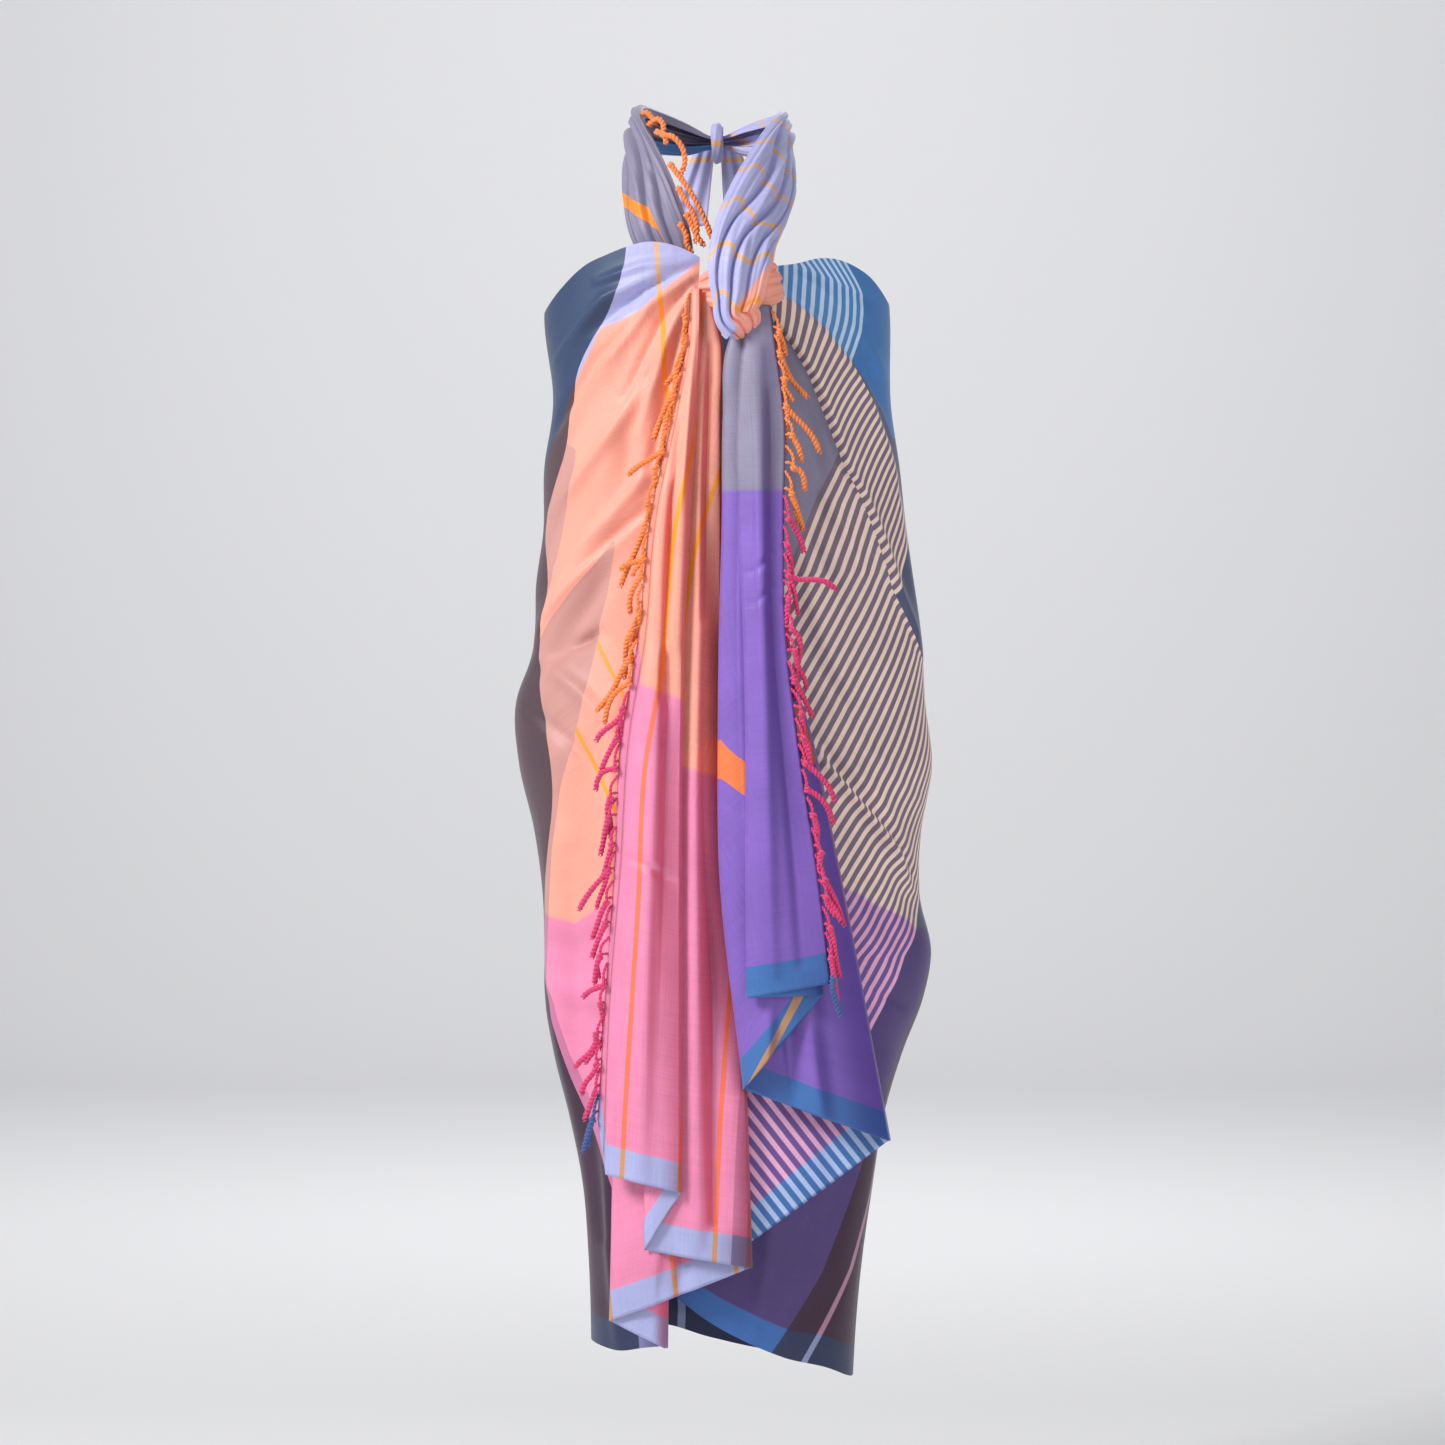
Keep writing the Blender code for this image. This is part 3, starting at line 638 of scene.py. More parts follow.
def down_cloth(drop, blue_end, peach_end, hem_drop):
    """v, from the drops at which the blue and the peach warp and the cloth itself end."""
    above = BLUE_WARP_END + (drop - blue_end) * MM
    middle = BLUE_WARP_END + (PEACH_WARP_END - BLUE_WARP_END) * (drop - blue_end) / (peach_end - blue_end)
    below = FLAT_CLOTH[1] - (hem_drop - drop) * MM
    reach_drop = hem_drop - HEM_REACH
    share = (drop - peach_end) / (reach_drop - peach_end)
    seam = PEACH_WARP_END + share * (FLAT_CLOTH[1] - HEM_REACH * MM - PEACH_WARP_END)
    low = np.where(drop > reach_drop, below, seam)
    return np.where(drop < blue_end, above, np.where(drop < peach_end, middle, low))


def left_panel_runs(turn, drop):
    """u on the left panel: below the drag line, above it, on the mauve band and on the dark cloth."""
    middle, width, _ = body_section(drop)
    x = middle + width * np.sin(turn)
    lower = np.maximum(THIN_LINES[-1] + (table_line(LEFT_LOWER_THREAD, drop) - x) * MM, THIN_LINES[3] + 0.022)
    upper = THIN_LINES[-1] + (table_line(LEFT_UPPER_THREAD, drop) - x) * MM
    mauve = (MAUVE_EDGE + DARK_EDGE) / 2 + 0 * x
    dark_turn = body_turn(soft_line(LEFT_DARK_LINE, drop), drop)
    dark = DARK_EDGE + 0.003 + np.maximum(arc(turn, dark_turn, drop), 0) * MM
    most = MAUVE_EDGE - 0.002
    return np.stack([np.minimum(lower, most), np.minimum(upper, most), mauve, dark], axis=-1)


def right_panel_runs(turn, drop):
    """u on the right panel's layers: over the arc, below the gather lip, between them, and at the side."""
    middle, width, _ = body_section(drop)
    x = middle + width * np.sin(turn)
    lean = table_curve(UPPER_LEAN, drop)
    slant = TOP_SLANT * np.maximum(table_line(TOP_SLANT_LINE, x) - drop, 0)
    leaned = UPPER_STRIPE_EDGE - lean - slant
    inside = np.clip(leaned, middle - width * ROUND_REACH, middle + width * ROUND_REACH)
    upper = STRIPES_START - (arc(body_turn(inside, drop), turn, drop) + inside - leaned) * UPPER_RATE * MM
    lobe_x = table_line(LOBE_EDGE, drop)
    inside = np.clip(lobe_x, middle - width * ROUND_REACH, middle + width * ROUND_REACH)
    lobe = STRIPES_END - (arc(body_turn(inside, drop), turn, drop) + inside - lobe_x) * LOBE_RATE * MM
    down_leg = LAST_LEG_ACROSS[1] * x + LAST_LEG_ACROSS[0] * drop
    covered = down_leg > LAST_LEG_HEM - COVERED_OVERLAP
    lobe = np.where(covered, np.minimum(lobe, COVERED_RUN), lobe)
    least = SIDE_RUN[1][1]
    between = np.clip(upper + UPPER_SHIFT, least, LAST_RUN)
    return np.maximum(upper, least), np.minimum(lobe, LAST_RUN), between, table_line(SIDE_RUN, drop)


def right_layer_lines(x, drop):
    """How far inside each of the right panel's upper layers a place is: above 0, that layer lies on top."""
    above = np.minimum(x - table_line(GATHER_LINE, drop), GATHER_LINE[-1][0] - drop)
    beyond_arc = np.minimum(above, drop - table_line(RIGHT_BLUE_END, x))
    beside = np.minimum(drop - SIDE_START, SIDE_LINE[-1][0] - drop)
    beside = np.minimum(x - table_line(SIDE_LINE, drop), beside)
    return np.stack([above, beyond_arc, beside, beyond_arc], axis=-1)


def left_layer_lines(x, drop):
    """The same for the left panel: over the drag line, on the mauve band, on the dark cloth, and on the
    band again where it lies over the drag line."""
    over = np.minimum(table_line(DRAG_LINE, drop) - x, DRAG_LINE[-1][0] - drop)
    over = np.maximum(over, DRAG_LINE[0][0] - drop)
    band = table_line(LEFT_MAUVE_LINE, drop) - x
    upper_band = table_line(LEFT_UPPER_MAUVE_LINE, drop) - x
    return np.stack([over, band, soft_line(LEFT_DARK_LINE, drop) - x, upper_band], axis=-1)


def fall_y(x, drop, stand_out):
    """The y of a leg of a fall that stands this far in front of the body."""
    gathered = table_curve(FALL_GATHER, drop)
    return BODY_MIDDLE_Y - FALL_DEPTH * np.sqrt(1 - (x / FALL_HALF_SPAN) ** 2) - stand_out * gathered


def fall_columns(table, stations, inner_edge, side, creases, rows):
    """Columns of a fall's zigzag as arrays of x, y, drop, leg number, share along the leg and hem drop."""
    down = np.linspace(0, 1, rows)
    top_drop = stations[0]
    lines = []
    for _, xs, hem_x, hem_drop, leg_depth in table:
        drop = top_drop + (hem_drop - top_drop) * down
        lines.append((curve(stations + (hem_drop,), xs + (hem_x,), drop), drop, leg_depth, hem_drop))
    hem_drop = inner_edge[-1][0]
    drop = top_drop + (hem_drop - top_drop) * down
    seam_x = table_curve(inner_edge, drop) + side * (WALL / 2 + SEAM_GAP)
    apex_x = seam_x + side * SEAM_FOLD_RADIUS
    lines.append((apex_x, drop, None, hem_drop))

    columns = []
    before = table[0][4]
    for leg, ((x0, drop0, depth, hem0), (x1, drop1, _, hem1)) in enumerate(zip(lines, lines[1:])):
        length = np.abs(x1 - x0)
        near = np.minimum(FOLD_RADIUS / np.maximum(length, 0.1), 0.3)
        columns.append((x0, fall_y(x0, drop0, (before + depth) / 2), drop0, leg, 0 * near, hem0 + 0 * near))
        for part in (near, *(share + 0 * near for share in LEG_SHARES), 1 - near):
            x = x0 + (x1 - x0) * part
            leg_drop = drop0 + (drop1 - drop0) * part
            bulge = np.minimum(LEG_BULGE * length, MOST_BULGE) * np.sin(math.pi * part)
            folds = crease_rise(x, leg_drop, creases.get(leg, ())) * np.sin(math.pi * part) ** 0.5
            rise = bulge + FALL_STRENGTH * folds
            hem = hem0 + (hem1 - hem0) * part
            columns.append((x, fall_y(x, leg_drop, depth) - rise, leg_drop, leg, part, hem))
        before = depth
    turn = body_turn(seam_x, drop)
    _, _, body_depth = body_section(drop)
    seam_y = BODY_MIDDLE_Y - body_depth * np.cos(turn)
    last = len(lines) - 2
    one = np.ones(rows)
    columns.append((apex_x, (fall_y(apex_x, drop, before) + seam_y) / 2, drop, last, one, hem_drop * one))
    columns.append((seam_x, seam_y, drop, last, one, hem_drop * one))
    return columns


def left_fall():
    """The left fall's grid and its places on the flat cloth."""
    columns = fall_columns(FALL_LEFT, FALL_LEFT_STATIONS, INNER_LEFT, 1, FALL_LEFT_CREASES, FALL_ROWS)
    run = np.zeros(FALL_ROWS)
    last_x = columns[0][0]
    stacked = []
    for x, y, drop, _, _, hem_drop in columns:
        run = run + np.abs(x - last_x)
        last_x = x
        v = FLAT_CLOTH[1] - (hem_drop - drop) * MM
        stacked.append(np.stack([x, y, NAPE_DROP - drop, run * MM, v], axis=-1))
    return np.stack(stacked, axis=1)


def right_fall():
    """The right fall's grid and its places on the flat cloth."""
    columns = fall_columns(FALL_RIGHT, FALL_RIGHT_STATIONS, INNER_RIGHT, -1, FALL_RIGHT_CREASES, FALL_ROWS)
    stacked = []
    run = np.zeros(FALL_ROWS)
    last_x = columns[0][0]
    for x, y, drop, leg, part, hem_drop in columns:
        step = np.abs(x - last_x)
        returned = table_curve(RIGHT_RETURN_RUN, drop)
        if leg == 1:
            run = first_run + (returned - first_run) * part
        elif leg == 3:
            run = run + step * FOURTH_LEG_RATE
        else:
            run = run + step
        if leg == 0:
            first_run = run
        if leg == 2 and np.all(part == 0):
            run = returned
        last_x = x
        u = FLAT_CLOTH[0] - run * MM
        if leg in (2, 3):
            u = np.maximum(u, STRIPES_END + CLEAR_OF_STRIPES)
        faded = np.clip((drop - SLACK_FADE[0]) / SLACK_FADE[1], 0, 1)
        slack = (hem_drop - FALL_RIGHT[0][3]) * (1 - faded)
        v = FLAT_CLOTH[1] - (hem_drop - drop - slack) * MM
        if leg == 4:
            across = LAST_LEG_ACROSS[0] * x - LAST_LEG_ACROSS[1] * drop
            along = LAST_LEG_ACROSS[1] * x + LAST_LEG_ACROSS[0] * drop
            u = LAST_LEG_START[0] + (across - LAST_LEG_START[1]) * MM
            v = FLAT_CLOTH[1] - (LAST_LEG_HEM - along) * MM
        stacked.append(np.stack([x, y, NAPE_DROP - drop, u, v], axis=-1))
    return np.stack(stacked, axis=1)


def strap_grid(table, columns, rows, valleys):
    """Gathered cloth rolled into a tube that is open at the back, along a path, and its flat lengths."""
    keys = np.arange(len(table))
    at = np.linspace(0, len(table) - 1, rows)
    x, y, drop, width, thickness = (curve(keys, values, at) for values in zip(*table))
    path = np.stack([x, y, NAPE_DROP - drop], axis=-1)
    along = np.gradient(path, axis=0)
    along /= np.linalg.norm(along, axis=1, keepdims=True)
    out = np.stack([x - NECK_AXIS[0], y - NECK_AXIS[1], np.zeros(rows)], axis=-1)
    out -= (out * along).sum(axis=1, keepdims=True) * along
    out /= np.linalg.norm(out, axis=1, keepdims=True)
    across = np.cross(along, out)
    turn = np.linspace(-STRAP_TURN, STRAP_TURN, columns)
    length = np.concatenate([[0], np.cumsum(np.linalg.norm(np.diff(path, axis=0), axis=1))])
    wander = 0.16 * np.sin(length / 38)[:, None]
    pleat = 1 + STRAP_PLEAT_DEPTH * np.cos(STRAP_PLEATS * 2 * (turn + wander))
    for place, spread, depth in valleys:
        pleat = pleat - depth * np.exp(-(((turn + wander * 2 - place) / spread) ** 2))
    fine = 1 + 0.05 * np.cos(15 * turn + 2.0 * wander + 0.8) + 0.03 * np.cos(27 * turn - 3 * wander)
    wide = width[:, None] / 2 * np.sin(turn) * (1 + 0.3 * (fine - 1))
    thick = thickness[:, None] / 2 * np.cos(turn) * pleat * fine
    points = path[:, None] + wide[..., None] * across[:, None] + thick[..., None] * out[:, None]
    return points, length, turn


def strap_cloth(table, columns, rows, valleys, run_at, down_at):
    """A strap's grid with its places on the flat cloth, from its length and its turn."""
    points, length, turn = strap_grid(table, columns, rows, valleys)
    length = length[:, None] + 0 * turn
    places = [run_at(length, turn + 0 * length), down_at(length, turn + 0 * length)]
    return np.concatenate([points, np.stack(places, axis=-1)], axis=-1)


def left_strap_run(length, turn):
    """The orange band slopes down over the first fold, and the folds beside it show other cloth."""
    second_fold = np.clip((turn - LEFT_VALLEYS[0][0]) / 0.03, 0, 1)
    return 1.61 + length * MM + 0.045 * (turn + 0.5) + 0.115 * second_fold


def left_strap_down(length, turn):
    return BLUE_WARP_END + 0.03 * (turn + 1.32) + 0 * length


def right_strap_run(length, turn):
    return length * MM + 0.007 * np.sin(4 * turn + 1)


def right_strap_down(length, turn):
    """The peach warp starts on the right, over the whole knot at the bottom."""
    edge = table_line(STRAP_PEACH_EDGE, length)
    return BLUE_WARP_END + 0.02 * (turn - edge)


def knot_run(length, turn):
    return 0.25 + length * MM


def knot_down(length, turn):
    return 0.3 + 0.02 * turn


def tail_grid(x_top, x_end, width_top, width_end):
    """One short end of the tie, hanging behind the nape."""
    down = np.linspace(0, 1, 24)[:, None]
    across = np.linspace(-0.5, 0.5, 22)
    x = x_top + (x_end - x_top) * down + (width_top + (width_end - width_top) * down) * across
    back_of_tie = TIE_MIDDLE_Y + TIE_RADIUS + TIE_THICKNESS
    y = back_of_tie + WALL / 2 + SEAM_GAP - TAIL_TUCK + TAIL_CURL * np.abs(across) * down
    y = y + 1.6 * np.cos(14 * across + 2 * down) * np.minimum(down * 4, 1)
    z = TAIL_TOP_Z - TAIL_LENGTH * down + 6 * across * down
    u = 0.06 + 0.09 * down + 0 * across
    v = 0.11 + 0.06 * across + 0 * down
    return np.stack([x, y, z, u, v], axis=-1)


def tie_grid():
    """The rolled cloth of the tie at the nape: a ring round the meeting straps, with soft rolls along it."""
    major = np.linspace(0, 2 * math.pi, 72)[:, None]
    minor = np.linspace(0, 2 * math.pi, 48)
    rolls = 1 - 0.16 * np.abs(np.sin(2.5 * minor + 1.4 * major)) + 0.03 * np.sin(3 * major)
    reach = TIE_RADIUS + TIE_THICKNESS * rolls * np.cos(minor)
    x = TIE_THICKNESS * rolls * np.sin(minor)
    y = TIE_MIDDLE_Y + reach * np.cos(major)
    z = reach * np.sin(major)
    u = 0.03 + TIE_RADIUS * major * MM + 0 * minor
    v = 0.08 + TIE_THICKNESS * minor * MM + 0 * major
    return np.stack([x, y, z, u, v], axis=-1)


def linked(name, data):
    """A new object of the scene with this data."""
    obj = bpy.data.objects.new(name, data)
    bpy.context.scene.collection.objects.link(obj)
    return obj


def cloth_mesh(name, points, places, material, thickness=CLOTH_THICKNESS):
    """A piece of cloth through a grid of points, with a place on the flat cloth for each face's corner."""
    rows, columns = points.shape[:2]
    number = np.arange(rows * columns).reshape(rows, columns)
    corners = [number[:-1, :-1], number[1:, :-1], number[1:, 1:], number[:-1, 1:]]
    faces = np.stack(corners, axis=-1).reshape(-1, 4)
    mesh = bpy.data.meshes.new(name)
    mesh.from_pydata((points.reshape(-1, 3) * MM).tolist(), [], faces.tolist())
    layer = mesh.uv_layers.new(name="flat")
    layer.data.foreach_set("uv", places.reshape(-1).astype(np.float32))
    mesh.shade_smooth()
    obj = linked(name, mesh)
    mesh.materials.append(material)
    if thickness:
        wall = obj.modifiers.new("Thickness", "SOLIDIFY")
        wall.thickness = thickness
        wall.offset = 0
    return obj


def corner_places(places):
    """A grid of places on the flat cloth as places for each face's four corners."""
    return np.stack([places[:-1, :-1], places[1:, :-1], places[1:, 1:], places[:-1, 1:]], axis=2)


def grid_cloth(name, grid, material):
    """A piece of cloth from a grid of x, y, z, u and v."""
    return cloth_mesh(name, grid[..., :3], corner_places(grid[..., 3:]), material)


def top_layer(runs, lines):
    """The run of the layer that lies on top."""
    second = np.where(lines[..., 0] > 0, lines[..., 3], lines[..., 1])
    run = np.where(lines[..., 0] > 0, runs[..., 1], runs[..., 0])
    run = np.where(second > 0, runs[..., 2], run)
    return np.where(lines[..., 2] > 0, runs[..., 3], run)


def seen_place(turn, drop):
    """The turn and x to read the plaid at: where the creases bring it in front, its own at the sides."""
    creased_x = body_points(turn, drop, 0.0)[..., 0]
    middle, width, _ = body_section(drop)
    x = middle + width * np.sin(turn)
    x = x + (creased_x - x) * np.cos(turn)
    return body_turn(x, drop), x


def smoothed(values, reach=60):
    """A column of values with its quick changes taken out."""
    padded = np.pad(values, reach, mode="edge")
    return np.convolve(padded, np.full(2 * reach + 1, 1 / (2 * reach + 1)), mode="valid")


def wrapped_cloth(material):
    """The cloth round the body, from under the right fall round the back to under the left one."""
    turn, drop, hem_drop = body_places(INNER_RIGHT, QUARTER, TOP_RIGHT, HEM_RIGHT, 98, BODY_ROWS)
    right_points = body_points(turn, drop)
    turn, x = seen_place(turn, drop)
    right_v = down_cloth(drop, table_line(RIGHT_BLUE_END, x), table_line(RIGHT_PEACH_END, x), hem_drop)
    upper, lobe, between, side = right_panel_runs(turn, drop)
    right_runs = np.stack([lobe, upper, between, side], axis=-1)
    right_lines = right_layer_lines(x, drop)

    turn, drop, hem_drop = body_places(-QUARTER, INNER_LEFT, TOP_LEFT, HEM_LEFT, 98, BODY_ROWS)
    left_points = body_points(turn, drop)
    turn, x = seen_place(turn, drop)
    left_v = down_cloth(drop, table_line(LEFT_BLUE_END, x), table_line(LEFT_PEACH_END, x), hem_drop)
    left_runs = left_panel_runs(turn, drop)
    left_lines = left_layer_lines(x, drop)
    left_runs[:, 0] = top_layer(left_runs, left_lines)[:, :1]

    turn, drop, hem_drop = body_places(QUARTER, 3 * QUARTER, TOP_BACK, HEM_BACK, 80, BODY_ROWS)
    back_points = body_points(turn, drop)
    back_v = down_cloth(drop, BACK_BLUE_END, BACK_PEACH_END, hem_drop)
    from_right = arc(np.full_like(turn, QUARTER), turn, drop) * MM
    whole = from_right[:, -1:]
    left_u = smoothed(left_runs[:, 0, 0])[:, None]
    back_layers = []
    for right_u in (lobe[:, -1:], table_line(SIDE_RUN, drop)[:, :1]):
        striped = np.maximum(right_u - PLUM_END, 0)
        plain_end = np.minimum(right_u, PLUM_END)
        plain = left_u + (plain_end - left_u) * (whole - from_right) / np.maximum(whole - striped, 0.05)
        back_layers.append(np.where(from_right < striped, right_u - from_right, plain))
    under, over = back_layers
    back_runs = np.stack([under, over, under, under], axis=-1)
    none = np.full_like(under, -10.0)
    tuck_from, tuck_by, tuck_length = SIDE_TUCK
    tuck = tuck_from + tuck_by * np.sin(drop / tuck_length)
    tuck = tuck * np.clip((drop - SIDE_LINE[-1][0]) / SIDE_TUCK_FADE, 0, 1)
    back_over = from_right / MM - tuck + 0.1
    back_lines = np.stack([back_over, none, none, none], axis=-1)

    def joined(right, back, left):
        return np.concatenate([right, back[:, 1:-1], left], axis=1)

    points = joined(right_points, back_points, left_points)
    runs = joined(right_runs, back_runs, left_runs)
    lines = joined(right_lines, back_lines, left_lines)
    v = joined(right_v, back_v, left_v)
    places = corner_places(np.stack([runs[..., 0], v], axis=-1))
    obj = cloth_mesh("wrapped_cloth", points, places, material, None)
    for name, values in (
        ("runs_first", runs[..., :3]),
        ("runs_last", np.stack([runs[..., 3], v, lines[..., 3]], axis=-1)),
        ("layer_lines", lines[..., :3]),
    ):
        layer = obj.data.attributes.new(name, "FLOAT_VECTOR", "POINT")
        layer.data.foreach_set("vector", values.reshape(-1).astype(np.float32))
    return obj


class Graph:
    """A material's node tree, with short ways to add nodes to it."""

    def __init__(self, name):
        self.material = bpy.data.materials.new(name)
        self.material.use_nodes = True
        self.tree = self.material.node_tree
        self.shader = self.tree.nodes["Principled BSDF"]

    def add(self, kind, **settings):
        node = self.tree.nodes.new(kind)
        for name, value in settings.items():
            setattr(node, name, value)
        return node

    def feed(self, socket, value):
        if isinstance(value, bpy.types.NodeSocket):
            self.tree.links.new(value, socket)
        else:
            socket.default_value = value

    def math(self, operation, *values, clamp=False):
        node = self.add("ShaderNodeMath", operation=operation, use_clamp=clamp)
        for socket, value in zip(node.inputs, values):
            self.feed(socket, value)
        return node.outputs[0]

    def split(self, vector):
        node = self.add("ShaderNodeSeparateXYZ")
        self.feed(node.inputs[0], vector)
        return node.outputs

    def step(self, value, start, end):
        """0 below start and 1 above end, smooth between."""
        node = self.add("ShaderNodeMapRange", interpolation_type="SMOOTHSTEP")
        for socket, setting in zip(node.inputs, (value, start, end)):
            self.feed(socket, setting)
        return node.outputs[0]

    def mix(self, factor, first, second, blend="MIX"):
        node = self.add("ShaderNodeMix", data_type="RGBA", blend_type=blend)
        self.feed(node.inputs[0], factor)
        self.feed(node.inputs[6], first)
        self.feed(node.inputs[7], second)
        return node.outputs[2]

    def ramp(self, value, stops, interpolation="CONSTANT"):
        node = self.add("ShaderNodeValToRGB")
        elements = node.color_ramp.elements
        node.color_ramp.interpolation = interpolation
        elements[0].position, elements[0].color = stops[0]
        elements[-1].position, elements[-1].color = stops[-1]
        for position, colour in stops[1:-1]:
            elements.new(position).color = colour
        self.feed(node.inputs[0], value)
        return node.outputs[0]

    def vector(self, x, y, z=0.0):
        node = self.add("ShaderNodeCombineXYZ")
        for socket, value in zip(node.inputs, (x, y, z)):
            self.feed(socket, value)
        return node.outputs[0]

    def noise(self, vector, scale=1.0, detail=2.0):
        node = self.add("ShaderNodeTexNoise")
        self.feed(node.inputs["Vector"], vector)
        node.inputs["Scale"].default_value = scale
        node.inputs["Detail"].default_value = detail
        return node.outputs[0]

    def times(self, first, second):
        return self.math("MULTIPLY", first, second)

    def plus(self, first, second):
        return self.math("ADD", first, second)

    def minus(self, first, second):
        return self.math("SUBTRACT", first, second)

    def band(self, value, start, end, soft):
        """1 from start to end, and 0 beyond a soft edge at either."""
        on = self.step(value, start - soft, start)
        return self.times(on, self.minus(1.0, self.step(value, end, end + soft)))

    def grain(self, u, v, across, down, detail):
        """Noise on the flat cloth that changes this often in a metre of u and of v."""
        return self.noise(self.vector(self.times(u, across), self.times(v, down)), 1.0, detail)

    def toned(self, colour, tone):
        """A colour made lighter or darker."""
        return self.mix(1.0, colour, self.vector(tone, tone, tone), "MULTIPLY")

    def bump(self, height, strength, distance):
        """Small relief on the whole material."""
        node = self.add("ShaderNodeBump")
        node.inputs["Strength"].default_value = strength
        node.inputs["Distance"].default_value = distance
        self.feed(node.inputs["Height"], height)
        self.feed(self.shader.inputs["Normal"], node.outputs[0])


def flat_place(graph):
    """u and v of a piece that has them as its UV map."""
    return graph.split(graph.add("ShaderNodeUVMap", uv_map="flat").outputs[0])[:2]


def layered_place(graph):
    """u and v of the wrapped cloth, from whichever of its layers lies on top."""
    first, last, lines = (
        graph.split(graph.add("ShaderNodeAttribute", attribute_name=name).outputs["Vector"])
        for name in ("runs_first", "runs_last", "layer_lines")
    )

    def chosen(line, above, below):
        on = graph.math("GREATER_THAN", line, 0.0)
        return graph.plus(below, graph.times(on, graph.minus(above, below)))

    second = chosen(lines[0], last[2], lines[1])
    u = chosen(lines[0], first[1], first[0])
    u = chosen(second, first[2], u)
    return chosen(lines[2], last[0], u), last[1]


def threaded_place(graph):
    """The same for the right strap, with a thin orange thread across it at every pitch."""
    u, v = flat_place(graph)
    cycle = graph.math("FRACT", graph.math("DIVIDE", u, STRAP_THREAD_PITCH))
    return graph.plus(graph.times(cycle, STRAP_THREAD_PITCH), STRAP_THREAD_START), v


def silk_material(name, place, shot_hue_and_shade=None):
    """Shot silk in a plaid, from u and v on the flat cloth, with painted shade in a shot-silk hue where a
    fold turns to the right.
    """
    graph = Graph(name)
    u_raw, v_raw = place(graph)
    wobble = graph.minus(graph.grain(u_raw, v_raw, 20.0, 9.0, 0.0), 0.5)
    u = graph.plus(u_raw, graph.times(wobble, 0.0014))
    v = graph.plus(v_raw, graph.times(wobble, 0.003))

    share = graph.math("DIVIDE", u, FLAT_CLOTH[0])
    columns = []
    for column in range(len(WARP_NAMES)):
        stops = [(start / FLAT_CLOTH[0], linear(COLOURS[kind][column])) for start, kind in WEFT_BANDS]
        columns.append(graph.ramp(share, stops))
    blue, peach, magenta, border = columns

    def by_warp(first, second, third, fourth):
        colour = graph.mix(graph.step(v, BLUE_WARP_END - 0.002, BLUE_WARP_END + 0.002), first, second)
        colour = graph.mix(graph.step(v, PEACH_WARP_END - 0.003, PEACH_WARP_END + 0.003), colour, third)
        return graph.mix(graph.step(v, BORDER_START - 0.001, BORDER_START + 0.001), colour, fourth)

    ground = by_warp(blue, peach, magenta, border)
    stripe = by_warp(*(linear(colour) for colour in COLOURS["stripe"]))
    orange = by_warp(*(linear(colour) for colour in COLOURS["thread"]))

    within = graph.band(u, STRIPES_START, STRIPES_END, 0.001)
    cycle = graph.math("FRACT", graph.math("DIVIDE", graph.minus(u, STRIPES_START), STRIPE_PITCH))
    from_middle = graph.math("ABSOLUTE", graph.minus(cycle, 0.5))
    pale = graph.minus(1.0, graph.step(from_middle, 0.19, 0.27))
    colour = graph.mix(graph.times(within, pale), ground, stripe)
    for start in THIN_LINES:
        colour = graph.mix(graph.band(u, start, start + THIN_LINE_WIDTH, 0.0008), colour, orange)

    along_weft = graph.grain(u_raw, v_raw, 22.0, 900.0, 3.0)
    along_warp = graph.grain(u_raw, v_raw, 900.0, 22.0, 3.0)
    mottle = graph.grain(u_raw, v_raw, 18.0, 18.0, 3.0)
    threads = graph.plus(graph.plus(along_weft, along_warp), mottle)
    tone = graph.plus(graph.times(threads, 0.30), 0.55)
    colour = graph.toned(colour, tone)
    # Painted shade: where the smooth normal turns to the right, away from the key light, the colour is
    # darkened and tinted towards a shot-silk hue.
    if shot_hue_and_shade:
        normal = graph.split(graph.add("ShaderNodeNewGeometry").outputs["Normal"])
        painted_shade_share = graph.step(normal[0], 0.05, 0.62)
        colour = graph.mix(painted_shade_share, colour, graph.mix(1.0, colour, shot_hue_and_shade, "MULTIPLY"))
    graph.feed(graph.shader.inputs["Base Color"], colour)

    graph.bump(graph.plus(along_weft, along_warp), 0.35, 0.0006)
    graph.feed(graph.shader.inputs["Roughness"], graph.plus(graph.times(along_weft, 0.2), 0.38))
    graph.shader.inputs["Specular IOR Level"].default_value = 0.38
    graph.shader.inputs["Sheen Weight"].default_value = 0.22
    graph.shader.inputs["Sheen Roughness"].default_value = 0.4
    return graph.material


def yarn_material(name, colour):
    """Twisted silk yarn of the fringe."""
    graph = Graph(name)
    place = graph.add("ShaderNodeTexCoord")
    fibres = graph.noise(place.outputs["Object"], 900.0, 2.0)
    tone = graph.plus(graph.times(fibres, 0.5), 0.72)
    graph.feed(graph.shader.inputs["Base Color"], graph.toned(linear(colour), tone))
    graph.bump(fibres, 0.5, 0.0005)
    graph.feed(graph.shader.inputs["Roughness"], graph.plus(graph.times(fibres, 0.2), 0.5))
    graph.shader.inputs["Sheen Weight"].default_value = 0.3
    return graph.material


def directions_across(path):
    """Two directions across a path, at right angles, at each of its points."""
    along = np.gradient(path, axis=0)
    along /= np.linalg.norm(along, axis=1, keepdims=True) + 1e-9
    first = np.cross(along, (0.31, 0.93, 0.17))
    first /= np.linalg.norm(first, axis=1, keepdims=True) + 1e-9
    return first, np.cross(along, first)


